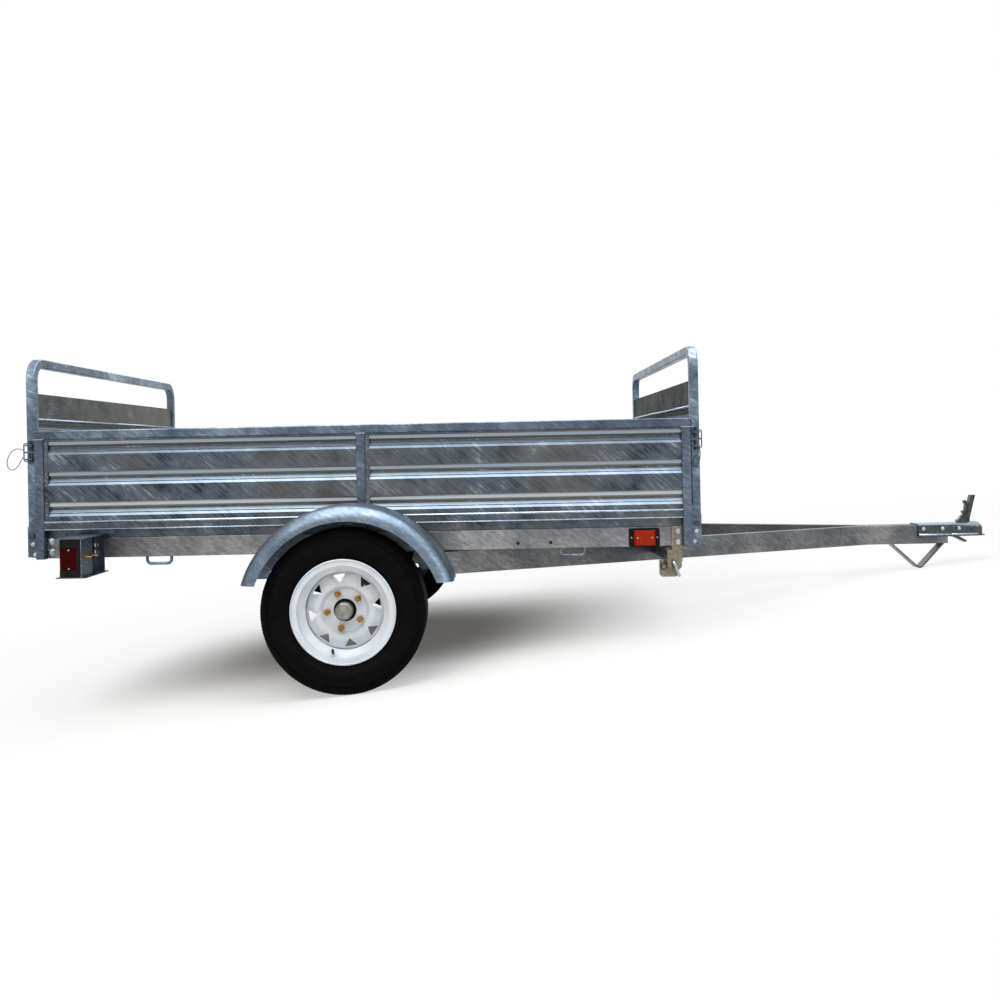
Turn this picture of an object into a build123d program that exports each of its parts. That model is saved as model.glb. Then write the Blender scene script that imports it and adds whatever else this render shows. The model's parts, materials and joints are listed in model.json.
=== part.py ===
from build123d import *
import math
import os

# Single-axle tilt-bed utility trailer, galvanised, with ribbed sides and two hooped gates.
# Millimetres. The trailer is drawn level: X forward from the axle, Y to the left, Z up from the road.
# The right-hand side is at minus Y. At the end the whole trailer is set down as it parks,
# nose down on its foot, with the origin on the floor under the middle of its box.

# Wheels and tyres.
TYRE_DIAMETER = 530.0
TYRE_WIDTH = 136.0
TYRE_WALL = 9.0
RIM_FLANGE_DIAMETER = 340.0
RIM_SEAT_DIAMETER = 305.0
RIM_WELL_DIAMETER = 262.0
RIM_WIDTH = 102.0
RIM_SHEET = 4.0
DISC_BORE_DIAMETER = 74.0
STUD_CIRCLE = 114.3
STUD_COUNT = 5
STUD_HOLE_DIAMETER = 15.0
STUD_FIRST_ANGLE = 41.0
VENT_COUNT = 8
VENT_FIRST_ANGLE = 98.7
VENT_WIDTH = 42.0
VENT_HEIGHT = 27.0
VENT_OUTER_RADIUS = 117.0
VENT_ROUND = 2.5
HUB_DIAMETER = 66.0
GREASE_CAP_DIAMETER = 56.0
GREASE_CAP_REACH = 46.0
HUB_BACK = 58.0
SPINDLE_DIAMETER = 32.0
SPINDLE_REACH = 16.0
WHEEL_GAP = 40.0
TREAD_WIDTH = 90.0
SHOULDER_WIDTH = 117.0
SHOULDER_DROP = 14.0
BULGE_RISE = 33.0
FLANGE_COVER = 3.0
RIM_CURL = 6.0
RIM_CURL_STEP = 4.0
RIM_SEAT_WIDTH = 18.0
RIM_WELL_SLOPE = 14.0
RIM_INNER_SEAT_WIDTH = 12.0
RIM_INNER_SLOPE = 2.0
DISC_FACE = 6.0
HUB_FLANGE = 8.0
HUB_FACE_GAP = 0.3
HUB_NOSE = 3.0
GREASE_CAP_ROUND = 5.0
SPINDLE_END_GAP = 2.0
SPOKE_RISE = 3.0
SPOKE_ROOT_RADIUS = 80.0
SPOKE_TIP_RADIUS = 123.0
SPOKE_ROOT_WIDTH = 44.0
SPOKE_TIP_WIDTH = 30.0

# Dish of the wheel's disc, from the rim inwards: inset from the disc's edge, height along the axis.
DISC_STEPS = ((0.0, -6.0), (4.0, 2.0), (32.0, 14.0), (50.0, 16.0), (60.0, DISC_FACE))

# Load bed.
BED_INSIDE_WIDTH = 1524.0
BED_LENGTH = 2194.0
AXLE_SETBACK = 51.0
TUBE = 30.0
TUBE_WALL = 2.0
TUBE_CORNER = 4.0
RAIL_BOTTOM = 436.0
RAIL_HEIGHT = 68.0
RAIL_WIDTH = 40.0
RAIL_WALL = 3.0
RAIL_HOLE_DIAMETER = 12.0
RAIL_HOLE_RISE = 20.0
RAIL_HOLE_SETBACKS = (583.0, 473.0)
SHEET = 2.0
FLOOR_LIP = 29.0
WALL_FOOT_HEIGHT = 29.0
WALL_STRIP_HEIGHT = 17.0
WALL_SET_BACK = 6.0
WALL_END_STRIP = 14.0
WALL_HEIGHT = 303.0
MID_POST_OFFSET = -7.0
RIB_HEIGHT = 47.0
RIB_PITCH = 103.0
WALL_RIB_COUNT = 3
FLOOR_RIB_COUNT = 5
FLOOR_RIB_WIDTH = 40.0
FLOOR_RIB_RISE = 6.0
INNER_BEAM_HEIGHT = 40.0
REAR_BEAM_INSETS = (356.0, 716.0)
FRONT_BEAM_INSET = 388.0

# Gates.
GATE_OVERLAP = 6.0
GATE_HEIGHT = 601.0
GATE_BEND = 60.0
GATE_GAP = 5.0
GATE_HAND_GAP = 119.0
GATE_SHEET_LIFT = 6.0
GATE_NOTCH_CLEARANCE = 6.0
GATE_SHEET_FACE = 8.0
GATE_LIP = 14.0
GATE_RIB_DROP = 84.0
GATE_RIB_COUNT = 4
GATE_RIB_FOOT = 80.0
HINGE_RISE = 8.0
HINGE_PIN_DIAMETER = 12.0
HINGE_HEAD_DIAMETER = 19.0
HINGE_HEAD_HEIGHT = 6.0
PIN_CLEARANCE = 0.2
BRACKET_SHEET = 4.0
BRACKET_LIFT = 3.0
BRACKET_RISE = 60.0
BRACKET_CLEARANCE = 1.0

# Gate catches: a fork on each post, and a drop pin in two lugs on the gate's leg.
CATCH_DROP = 41.0
CATCH_SPREAD = 46.0
CATCH_LUG_DEPTH = 25.0
CATCH_LUG_WIDTH = 26.0
CATCH_LUG_SHEET = 5.0
CATCH_LUG_ROUND = 8.0
CATCH_PIN_DIAMETER = 8.0
CATCH_PIN_LENGTH = 74.0
CATCH_HEAD_DIAMETER = 12.0
CATCH_HEAD_HEIGHT = 4.0
FORK_REACH = 34.0
FORK_SHEET = 6.0
FORK_CLEARANCE = 1.0
FORK_GATE_GAP = 3.0
BAIL_WIRE = 4.0
BAIL_REACH = 19.0
BAIL_BEND = 6.0
LANYARD_DIAMETER = 2.4
LANYARD_ROUND_SHARE = 0.45

# Axle and springs.
AXLE_BEAM = 50.0
AXLE_END_GAP = 12.0
SPRING_WIDTH = 45.0
SPRING_LEAF = 7.0
SPRING_HALF_LENGTH = 250.0
SPRING_CAMBER = 85.0
SPRING_EYE_DIAMETER = 34.0
SPRING_PIN_DIAMETER = 14.0
LEAF_SHARES = (1.0, 0.78, 0.5)
HANGER_SHEET = 5.0
CLAMP_PLATE = 8.0
CLAMP_ROD_DIAMETER = 10.0
CLAMP_HALF_SPREAD = 38.0

# Fenders.
FENDER_RADIUS = 358.0
FENDER_CENTRE_X = 15.0
FENDER_CENTRE_DROP = 17.0
FENDER_HALF_ANGLE = 77.0
FENDER_END_HEIGHT = 357.0
FENDER_GAP = 5.0
FENDER_WIDTH = 195.0
FENDER_LIP = 50.0
FENDER_OUTER_BEND = 46.0
FENDER_INNER_BEND = 12.0
FENDER_SPACER = 28.0
FENDER_SPACER_ANGLE = 48.0
FENDER_SPACER_DEPTH = 31.0

# Lamps and tie-down hooks.
TAIL_BRACKET_INSET = 231.0
TAIL_BRACKET_DEPTH = 95.0
TAIL_BRACKET_REACH = 198.0
TAIL_BRACKET_DROP = 46.0
TAIL_BRACKET_RISE = 14.0
TAIL_BRACKET_SHEET = 3.0
LAMP_PLATE_SETBACK = 12.0
LAMP_PLATE_WIDTH = 91.0
TAIL_LAMP_WIDTH = 120.0
TAIL_LAMP_BASE = 14.0
TAIL_LAMP_DEPTH = 70.0
TAIL_LENS_HEIGHT = 74.0
TAIL_LENS_FLOOR = 20.0
TAIL_LENS_INSET = 6.0
TAIL_LENS_ROUND = 8.0
TAIL_LAMP_ROUND = 6.0
TAIL_LAMP_GAP = 1.0
MARKER_INSET = 158.0
MARKER_LENGTH = 103.0
MARKER_HEIGHT = 62.0
MARKER_BASE = 8.0
MARKER_LENS_LENGTH = 71.0
MARKER_LENS_HEIGHT = 52.0
MARKER_LENS_RISE = 16.0
MARKER_LENS_BEVEL = 5.0
MARKER_ROUND = 6.0
HOOK_INSET = 400.0
HOOK_ROD = 10.0
HOOK_SPAN = 82.0
HOOK_DROP = 29.0
HOOK_BEND = 14.0

# Drawbar.
ARM_DROP = 6.0
ARM_HEIGHT = 76.0
ARM_WIDTH = 38.0
ARM_WALL = 3.0
ARM_INSET = 16.0
PIVOT_X = 330.0
PIVOT_TAIL = 15.0
PIVOT_SHAFT_DIAMETER = 20.0
PIVOT_HANGER_INSET = 72.0
PIVOT_HANGER_SHEET = 6.0
NOSE_START = 1985.0
NOSE_LENGTH = 334.0
NOSE_WIDTH = 76.0
LATCH_INSET = 62.0
LATCH_TUBE = 40.0
LATCH_TUBE_GAP = 10.0
LATCH_PLATE_SHEET = 6.0
LATCH_PIN_DIAMETER = 10.0
LATCH_PIN_RISE = 30.0
LATCH_SLOT_CLEARANCE = 2.0
LATCH_EYE_ROUND = 13.0
LATCH_HANDLE_LENGTH = 52.0
LATCH_HANDLE_LEAN = 21.0
LATCH_HANDLE_BEND = 9.0

# Coupler and parking foot.
COUPLER_LAP = 122.0
COUPLER_SHEET = 4.0
COUPLER_FIT = 0.3
COUPLER_TAPER_START = 11.0
COUPLER_SKIRT_RISE = 29.0
COUPLER_FLANGE = 9.0
BALL_DIAMETER = 50.8
BALL_CLEARANCE = 0.3
BALL_REACH = 124.0
DOME_WALL = 5.5
DOME_RISE = 5.0
DOME_CROWN = 1.0
COUPLER_EDGE = 7.0
COUPLER_NOSE_ROOM = 8.0
LEVER_WIDTH = 24.0
LEVER_SHEET = 3.0
CLAMP_JAW_WIDTH = 34.0
FOOT_WIDTH = 50.0
FOOT_STRAP = 6.0
FOOT_BEND = 15.0
FOOT_REAR_SETBACK = 221.0
FOOT_LOW_SETBACK = 109.0
FOOT_FRONT_SETBACK = 12.0
FOOT_DROP = 103.0

# Outlines of the tilt latch's plates seen from the side, ahead of the latch pin and above it:
# the drawbar's plate, then the lower end of the plate on the rail, which steps in above the rail's foot.
LATCH_EYE_OUTLINE = ((-44, -53), (20, -53), (20, 46), (-20, 46), (-20, 10), (-44, 4))
LATCH_PLATE_OUTLINE = ((-20, -14), (-10, -27), (20, -27), (28, -18), (28, 40), (-20, 40))
LATCH_PLATE_REACH = (-4, 31)

# Outlines seen from the side, ahead of the ball's centre and above the coupler's top.
LEVER_OUTLINE = ((-68, 0), (-22, 0), (-22, 16), (2, 112), (-16, 112), (-34, 40), (-58, 22), (-74, 8))
TRIGGER_OUTLINE = ((-60, 24), (-46, 36), (-52, 46), (-40, 52), (-36, 72), (-44, 88), (-36, 92), (-24, 74),
                   (-32, 42))

# Outline of the ball clamp's tongue: ahead of the nose tube's end, above the coupler's skirt.
CLAMP_OUTLINE = ((22, 0), (50, 0), (88, -22), (80, -28))

# Lanyards: the points of each wire's route from the bail of the catch pin and back to it,
# as distances from the catch pin: X away from the bed, then Z.
REAR_LANYARD = ((21.7, 8.0), (39.0, 15.0), (58.0, 7.0), (72.0, -12.0), (78.0, -36.0), (70.0, -57.0),
                (52.0, -59.0), (36.0, -42.0), (29.0, -26.0), (22.2, -16.0))
FRONT_LANYARD = ((12.0, -31.7), (15.0, -46.0), (13.0, -62.0), (9.0, -80.0), (1.0, -96.0), (-9.0, -93.0),
                 (-11.0, -77.0), (-6.0, -62.0), (3.0, -53.0), (7.0, -44.0), (6.0, -31.7))

# How far a cut runs past the face that it opens.
CUT_SPARE = 1.0

# Places worked out from the driving dimensions.
WHEEL_RADIUS = TYRE_DIAMETER / 2
REAR_END = AXLE_SETBACK - BED_LENGTH / 2
FRONT_END = AXLE_SETBACK + BED_LENGTH / 2
INSIDE = BED_INSIDE_WIDTH / 2
OUTSIDE = INSIDE + TUBE
RAIL_TOP = RAIL_BOTTOM + RAIL_HEIGHT
WALL_FOOT = RAIL_TOP + FLOOR_LIP
WALL_TOP = WALL_FOOT + WALL_HEIGHT
SPRING_Y = INSIDE - RAIL_WIDTH / 2
WHEEL_Y = OUTSIDE + WHEEL_GAP + TYRE_WIDTH / 2
RAIL_HOLE_PLACES = tuple(FRONT_END - setback for setback in RAIL_HOLE_SETBACKS)
INNER_BEAM_PLACES = tuple(REAR_END + inset for inset in REAR_BEAM_INSETS) + (FRONT_END - FRONT_BEAM_INSET,)
HOOK_PLACES = (REAR_END + HOOK_INSET, FRONT_END - HOOK_INSET)
MARKER_CENTRE = FRONT_END - MARKER_INSET
TAIL_BRACKET_FRONT = REAR_END + TAIL_BRACKET_INSET
LAMP_PLATE_FRONT = TAIL_BRACKET_FRONT - LAMP_PLATE_SETBACK
TAIL_BRACKET_BOTTOM = RAIL_BOTTOM - TAIL_BRACKET_DROP
TAIL_BRACKET_TOP = RAIL_TOP + TAIL_BRACKET_RISE
FENDER_CENTRE_Z = WHEEL_RADIUS - FENDER_CENTRE_DROP
FENDER_SPACER_RADIUS = FENDER_RADIUS - FENDER_SPACER_DEPTH
HINGE_HEIGHT = RAIL_TOP + HINGE_RISE
BRACKET_BOTTOM = RAIL_BOTTOM + BRACKET_LIFT
BRACKET_TOP = HINGE_HEIGHT + BRACKET_RISE
GATE_WIDTH = BED_INSIDE_WIDTH + GATE_OVERLAP
GATE_LEG_Y = GATE_WIDTH / 2 - TUBE / 2
GATE_TOP = HINGE_HEIGHT + GATE_HEIGHT
GATE_SHEET_TOP = GATE_TOP - GATE_HAND_GAP
GATE_SHEET_BOTTOM = HINGE_HEIGHT + GATE_SHEET_LIFT
GATE_RIB_TOP = GATE_SHEET_TOP - GATE_RIB_DROP
GATE_RIB_PITCH = (GATE_RIB_TOP - GATE_SHEET_BOTTOM - GATE_RIB_FOOT) / (GATE_RIB_COUNT - 1)
CATCH_HEIGHT = WALL_TOP - CATCH_DROP
ARM_TOP = RAIL_BOTTOM - ARM_DROP
ARM_BOTTOM = ARM_TOP - ARM_HEIGHT
ARM_MIDDLE = ARM_BOTTOM + ARM_HEIGHT / 2
ARM_SLOPE = (INSIDE - ARM_INSET - NOSE_WIDTH / 2) / (NOSE_START - PIVOT_X)
ARM_HALF_ANGLE = math.degrees(math.atan(ARM_SLOPE))
LATCH_X = FRONT_END - LATCH_INSET
LATCH_PIN_Z = ARM_BOTTOM + LATCH_PIN_RISE
NOSE_END = NOSE_START + NOSE_LENGTH
COUPLER_START = NOSE_END - COUPLER_LAP
COUPLER_TAPER = NOSE_END + COUPLER_TAPER_START
COUPLER_SKIRT = ARM_BOTTOM + COUPLER_SKIRT_RISE
BALL_X = NOSE_END + BALL_REACH
FOOT_REAR_X = NOSE_END - FOOT_REAR_SETBACK
FOOT_LOW_X = NOSE_END - FOOT_LOW_SETBACK
FOOT_FRONT_X = NOSE_END - FOOT_FRONT_SETBACK
FOOT_LOW_Z = ARM_BOTTOM - FOOT_DROP
COUPLER_TOP = ARM_TOP + COUPLER_FIT + COUPLER_SHEET
BALL_RADIUS = BALL_DIAMETER / 2 + BALL_CLEARANCE
BALL_Z = COUPLER_TOP - DOME_WALL - BALL_RADIUS + DOME_RISE

# Each gate: its end of the bed, and the way it faces along X.
GATES = {"rear": (REAR_END, -1), "front": (FRONT_END, 1)}

# One rib of the rolled sheet: drop below the rib's top edge, depth behind the sheet's face.
RIB_STEPS = ((0.0, 0.0), (4.0, 5.0), (14.0, 5.0), (21.0, 13.0), (26.0, 13.0), (36.0, 5.0), (39.0, 5.0),
             (RIB_HEIGHT, 0.0))


def foot_bend_centre():
    """Centre of the round at the foot's lowest bend, level, as X and Z."""
    low = Vector(FOOT_LOW_X, FOOT_LOW_Z)
    rear = (Vector(FOOT_REAR_X, ARM_BOTTOM) - low).normalized()
    front = (Vector(FOOT_FRONT_X, ARM_BOTTOM) - low).normalized()
    half_turn = math.radians(rear.get_angle(front)) / 2
    centre = low + (rear + front).normalized() * (FOOT_BEND / math.sin(half_turn))
    return centre.X, centre.Y


def parked_pitch():
    """Angle, nose down, at which the tyres and the foot's bend stand on one level floor."""
    foot_x, foot_z = foot_bend_centre()
    foot_radius = FOOT_BEND + FOOT_STRAP / 2
    rise = math.atan2(foot_z - WHEEL_RADIUS, foot_x)
    distance = math.hypot(foot_x, foot_z - WHEEL_RADIUS)
    return math.degrees(rise - math.asin((foot_radius - WHEEL_RADIUS) / distance))


def both_sides(right):
    """A right-hand piece and its mirror image on the left."""
    return [right, mirror(right, about=Plane.XZ)]


def box_between(low, high):
    """Plain block from its low corner to its high corner."""
    size = [b - a for a, b in zip(low, high)]
    middle = [(a + b) / 2 for a, b in zip(low, high)]
    return Pos(*middle) * Box(*size)


def tube_between(low, high, axis, wall=TUBE_WALL, corner=TUBE_CORNER):
    """Box-section tube that fills the block from low to high, open at both ends of its axis."""
    size = {name: b - a for name, a, b in zip("XYZ", low, high)}
    middle = [(a + b) / 2 for a, b in zip(low, high)]
    planes = {"X": (Plane.YZ, "Y", "Z"), "Y": (Plane.XZ, "X", "Z"), "Z": (Plane.XY, "X", "Y")}
    plane, across, up = planes[axis]
    section = RectangleRounded(size[across], size[up], corner)
    section -= Rectangle(size[across] - 2 * wall, size[up] - 2 * wall)
    return Pos(*middle) * extrude(plane * section, amount=size[axis] / 2, both=True)


def rod_y(diameter, x, z, y_from, y_to):
    """Round rod across the trailer."""
    rod = Rot(90, 0, 0) * Cylinder(diameter / 2, abs(y_to - y_from))
    return Pos(x, (y_from + y_to) / 2, z) * rod


def sheet_face(points, thickness=SHEET):
    """Cross-section of a sheet folded along a line of points, its thickness laid to the line's left."""
    corners = [Vector(*point) for point in points]
    normals = [(b - a).normalized().rotate(Axis.Z, 90) for a, b in zip(corners, corners[1:])]
    back = []
    for corner, before, after in zip(corners, normals[:1] + normals, normals + normals[-1:]):
        back.append(corner + (before + after) * (thickness / (1 + before.dot(after))))
    return make_face(Polyline(*corners, *reversed(back), close=True))


def rib_line(face, top):
    """Points of one rib, from its lower edge up, on a sheet whose face is at the given place."""
    return [(face - depth, top - drop) for drop, depth in reversed(RIB_STEPS)]


def side_profile(points, y_from, y_to):
    """Plate cut to an outline in X and Z, between two places across the trailer."""
    face = Plane.XZ * make_face(Polyline(*points, close=True))
    plate = extrude(face, amount=abs(y_to - y_from) / 2, both=True)
    return Pos(0, (y_from + y_to) / 2, 0) * plate


# Chassis and load bed.
def side_rail():
    high = (FRONT_END, RAIL_WIDTH - INSIDE, RAIL_TOP)
    rail = tube_between((REAR_END, -INSIDE, RAIL_BOTTOM), high, "X", RAIL_WALL)
    for x in RAIL_HOLE_PLACES:
        z = RAIL_BOTTOM + RAIL_HOLE_RISE
        rail -= rod_y(RAIL_HOLE_DIAMETER, x, z, -INSIDE - CUT_SPARE, 2 * RAIL_WALL - INSIDE)
    return rail


def cross_beams():
    reach = INSIDE - RAIL_WIDTH
    half = RAIL_WIDTH / 2
    places = [(x, RAIL_BOTTOM) for x in (REAR_END + half, PIVOT_X, FRONT_END - half)]
    places += [(x, RAIL_TOP - INNER_BEAM_HEIGHT) for x in INNER_BEAM_PLACES]
    beams = []
    for x, low in places:
        beams.append(tube_between((x - half, -reach, low), (x + half, reach, RAIL_TOP), "Y", RAIL_WALL))
    return beams


def deck_floor():
    """Floor sheet with turned-up sides and raised ribs along its length."""
    pitch = BED_INSIDE_WIDTH / FLOOR_RIB_COUNT
    slope = FLOOR_RIB_RISE
    line = [(-INSIDE, WALL_FOOT), (-INSIDE, RAIL_TOP)]
    for number in range(FLOOR_RIB_COUNT):
        middle = (number - (FLOOR_RIB_COUNT - 1) / 2) * pitch
        line.append((middle - FLOOR_RIB_WIDTH / 2 - slope, RAIL_TOP))
        line.append((middle - FLOOR_RIB_WIDTH / 2, RAIL_TOP + FLOOR_RIB_RISE))
        line.append((middle + FLOOR_RIB_WIDTH / 2, RAIL_TOP + FLOOR_RIB_RISE))
        line.append((middle + FLOOR_RIB_WIDTH / 2 + slope, RAIL_TOP))
    line += [(INSIDE, RAIL_TOP), (INSIDE, WALL_FOOT)]
    floor = extrude(Plane.YZ * sheet_face(line), amount=BED_LENGTH / 2, both=True)
    return Pos(AXLE_SETBACK, 0, 0) * floor


def post_places():
    """Left edge of each post along the side, rear to front."""
    return (REAR_END, AXLE_SETBACK + MID_POST_OFFSET - TUBE / 2, FRONT_END - TUBE)


def posts():
    right = []
    for x in post_places():
        right.append(tube_between((x, -OUTSIDE, RAIL_BOTTOM), (x + TUBE, -INSIDE, WALL_TOP), "Z"))
    return right


def top_rail():
    return tube_between((REAR_END, -OUTSIDE, WALL_TOP), (FRONT_END, -INSIDE, WALL_TOP + TUBE), "X")


def wall_bays():
    """Rolled sheet of the right side, one bay between each pair of posts, flat along its rear end."""
    face = OUTSIDE - WALL_SET_BACK
    strip = WALL_FOOT + WALL_FOOT_HEIGHT
    line = [(INSIDE - SHEET, WALL_FOOT), (OUTSIDE, WALL_FOOT), (OUTSIDE, strip), (face, strip)]
    for number in range(WALL_RIB_COUNT):
        line += rib_line(face, strip + WALL_STRIP_HEIGHT + number * RIB_PITCH + RIB_HEIGHT)
    line.append((face, WALL_TOP))
    section = mirror(Plane.YZ * sheet_face(line), about=Plane.XZ)
    places = post_places()
    bays = []
    for start, end in zip(places, places[1:]):
        length = end - start - TUBE
        bay = Pos(start + TUBE + length / 2, 0, 0) * extrude(section, amount=length / 2, both=True)
        corner = (start + TUBE + WALL_END_STRIP, SHEET - face, WALL_TOP)
        bays.append(bay + box_between((start + TUBE, -face, strip), corner))
    return bays


# Gates and what holds them.
def hinge_x(gate):
    end, way = GATES[gate]
    return end + way * (GATE_GAP + TUBE / 2)


def gate_hoop(gate):
    """Bent tube with round feet that turn on the hinge pins."""
    x = hinge_x(gate)
    high = GATE_TOP - TUBE / 2
    path = FilletPolyline((x, -GATE_LEG_Y, HINGE_HEIGHT), (x, -GATE_LEG_Y, high), (x, GATE_LEG_Y, high),
                          (x, GATE_LEG_Y, HINGE_HEIGHT), radius=GATE_BEND)
    hollow = TUBE - 2 * TUBE_WALL
    section = RectangleRounded(TUBE, TUBE, TUBE_CORNER) - Rectangle(hollow, hollow)
    hoop = sweep(Pos(x, -GATE_LEG_Y, HINGE_HEIGHT) * section, path=path)
    for y in (-GATE_LEG_Y, GATE_LEG_Y):
        hoop += rod_y(TUBE, x, HINGE_HEIGHT, y - TUBE / 2, y + TUBE / 2)
        hoop -= rod_y(HINGE_PIN_DIAMETER + 2 * PIN_CLEARANCE, x, HINGE_HEIGHT, y - TUBE, y + TUBE)
    return hoop


def gate_sheet(gate):
    """Rolled sheet between the legs, its face towards the bed and a lip folded along its top."""
    way = GATES[gate][1]
    line = [(GATE_SHEET_FACE - GATE_LIP, GATE_SHEET_BOTTOM), (GATE_SHEET_FACE, GATE_SHEET_BOTTOM)]
    for number in reversed(range(GATE_RIB_COUNT)):
        line += rib_line(GATE_SHEET_FACE, GATE_RIB_TOP - number * GATE_RIB_PITCH)
    line += [(GATE_SHEET_FACE, GATE_SHEET_TOP), (GATE_SHEET_FACE - GATE_LIP, GATE_SHEET_TOP)]
    across = GATE_LEG_Y - TUBE / 2
    sheet = extrude(Plane.XZ * sheet_face(line), amount=across, both=True)
    notch_y = across - BRACKET_CLEARANCE - BRACKET_SHEET - GATE_NOTCH_CLEARANCE
    notch_top = HINGE_HEIGHT + bracket_reach() + GATE_NOTCH_CLEARANCE
    for piece in both_sides(box_between((-TUBE, -GATE_WIDTH, 0), (TUBE, -notch_y, notch_top))):
        sheet -= piece
    if way > 0:
        sheet = mirror(sheet, about=Plane.YZ)
    return Pos(hinge_x(gate), 0, 0) * sheet


def bracket_reach():
    """Farthest that a hinge bracket's cheeks stand from the hinge's axis."""
    return math.hypot(GATE_GAP + TUBE / 2, HINGE_HEIGHT - BRACKET_BOTTOM)


def hinge_bracket(gate):
    """Folded channel on the end of the right-hand rail, its two cheeks beside the gate's leg."""
    end, way = GATES[gate]
    inner = GATE_LEG_Y - TUBE / 2 - BRACKET_CLEARANCE
    outer = GATE_LEG_Y + TUBE / 2 + BRACKET_CLEARANCE
    low = (0, -outer - BRACKET_SHEET, BRACKET_BOTTOM)
    back = box_between(low, (BRACKET_SHEET, BRACKET_SHEET - inner, BRACKET_TOP))
    reach = GATE_GAP + TUBE
    cheek_line = [(0, BRACKET_BOTTOM), (reach, BRACKET_BOTTOM + BRACKET_SHEET), (reach, BRACKET_TOP - TUBE),
                  (reach / 2, BRACKET_TOP), (0, BRACKET_TOP)]
    bracket = back
    for y_from, y_to in ((-outer - BRACKET_SHEET, -outer), (-inner, BRACKET_SHEET - inner)):
        bracket += side_profile(cheek_line, y_from, y_to)
    pin_x = GATE_GAP + TUBE / 2
    bracket -= rod_y(HINGE_PIN_DIAMETER, pin_x, HINGE_HEIGHT, -outer - TUBE, TUBE - inner)
    room = (BRACKET_SHEET + CUT_SPARE, -inner, BRACKET_TOP + CUT_SPARE)
    bracket -= box_between((-CUT_SPARE, -outer, HINGE_HEIGHT - TUBE), room)
    if way < 0:
        bracket = mirror(bracket, about=Plane.YZ)
    return Pos(end, 0, 0) * bracket


def hinge_pin(gate):
    """Headed pin through both cheeks of a right-hand hinge bracket."""
    outer = GATE_LEG_Y + TUBE / 2 + BRACKET_CLEARANCE + BRACKET_SHEET
    inner = GATE_LEG_Y - TUBE / 2 - BRACKET_CLEARANCE - BRACKET_SHEET
    x = hinge_x(gate)
    pin = rod_y(HINGE_PIN_DIAMETER, x, HINGE_HEIGHT, -outer, -inner)
    pin += rod_y(HINGE_HEAD_DIAMETER, x, HINGE_HEIGHT, -outer - HINGE_HEAD_HEIGHT, -outer)
    return pin + rod_y(HINGE_HEAD_DIAMETER, x, HINGE_HEIGHT, -inner, HINGE_HEAD_HEIGHT - inner)


def catch_pin_y():
    """Middle of the right-hand lugs, beside the gate's leg."""
    return -GATE_LEG_Y - TUBE / 2 - CATCH_LUG_DEPTH / 2


def catch_lugs(gate):
    """Two lugs on the outer face of a gate's right leg, which hold the catch pin."""
    x = hinge_x(gate)
    leg = -GATE_LEG_Y - TUBE / 2
    half = CATCH_LUG_WIDTH / 2
    lugs = []
    for level in (-1, 1):
        z = CATCH_HEIGHT + level * CATCH_SPREAD / 2
        low = (x - half, leg - CATCH_LUG_DEPTH, z - CATCH_LUG_SHEET / 2)
        lug = box_between(low, (x + half, leg, z + CATCH_LUG_SHEET / 2))
        lug = fillet(lug.edges().filter_by(Axis.Z).group_by(Axis.Y)[0], CATCH_LUG_ROUND)
        lugs.append(lug - Pos(x, catch_pin_y(), z) * Cylinder(CATCH_PIN_DIAMETER / 2, 2 * CATCH_LUG_SHEET))
    return lugs


def catch_pin(gate):
    """Drop pin through both lugs, with a square wire bail that stands out from it."""
    way = GATES[gate][1]
    pin = Cylinder(CATCH_PIN_DIAMETER / 2, CATCH_PIN_LENGTH)
    pin += Pos(0, 0, CATCH_PIN_LENGTH / 2) * Cylinder(CATCH_HEAD_DIAMETER / 2, CATCH_HEAD_HEIGHT)
    high = CATCH_SPREAD / 2 + CATCH_LUG_SHEET / 2 + BAIL_WIRE
    path = FilletPolyline((0, high), (BAIL_REACH, high), (BAIL_REACH, -high), (0, -high), radius=BAIL_BEND)
    start = Plane(origin=(0, 0, high), z_dir=(1, 0, 0))
    pin += sweep(start * Circle(BAIL_WIRE / 2), path=Plane.XZ * path)
    if way < 0:
        pin = mirror(pin, about=Plane.YZ)
    return Pos(hinge_x(gate), catch_pin_y(), CATCH_HEIGHT) * pin


def post_fork(gate):
    """Fork on the end of the right-hand post, open outwards, which takes the catch pin between the lugs."""
    end, way = GATES[gate]
    inner = -GATE_LEG_Y - TUBE / 2 - FORK_GATE_GAP
    low = (0, -OUTSIDE, CATCH_HEIGHT - FORK_SHEET / 2)
    fork = box_between(low, (FORK_REACH, inner, CATCH_HEIGHT + FORK_SHEET / 2))
    slot = CATCH_PIN_DIAMETER / 2 + FORK_CLEARANCE
    pin_x = GATE_GAP + TUBE / 2
    fork -= Pos(pin_x, catch_pin_y(), CATCH_HEIGHT) * Cylinder(slot, 2 * FORK_SHEET)
    fork -= box_between((pin_x, catch_pin_y() - slot, CATCH_HEIGHT - FORK_SHEET),
                        (FORK_REACH + CUT_SPARE, catch_pin_y() + slot, CATCH_HEIGHT + FORK_SHEET))
    if way < 0:
        fork = mirror(fork, about=Plane.YZ)
    return Pos(end, 0, 0) * fork


def lanyard_points(gate):
    """Route of the wire loop that hangs on the bail of a gate's right-hand catch pin."""
    way = GATES[gate][1]
    route = REAR_LANYARD if gate == "rear" else FRONT_LANYARD
    return [(hinge_x(gate) + way * out, catch_pin_y(), CATCH_HEIGHT + up) for out, up in route]


def cord_radii(points):
    """Largest round that fits each corner of a cord's route."""
    radii = []
    for before, here, after in zip(points, points[1:], points[2:]):
        arriving = Vector(*here) - Vector(*before)
        leaving = Vector(*after) - Vector(*here)
        turn = math.radians(arriving.get_angle(leaving))
        radii.append(LANYARD_ROUND_SHARE * min(arriving.length, leaving.length) / math.tan(turn / 2))
    return radii


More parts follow.
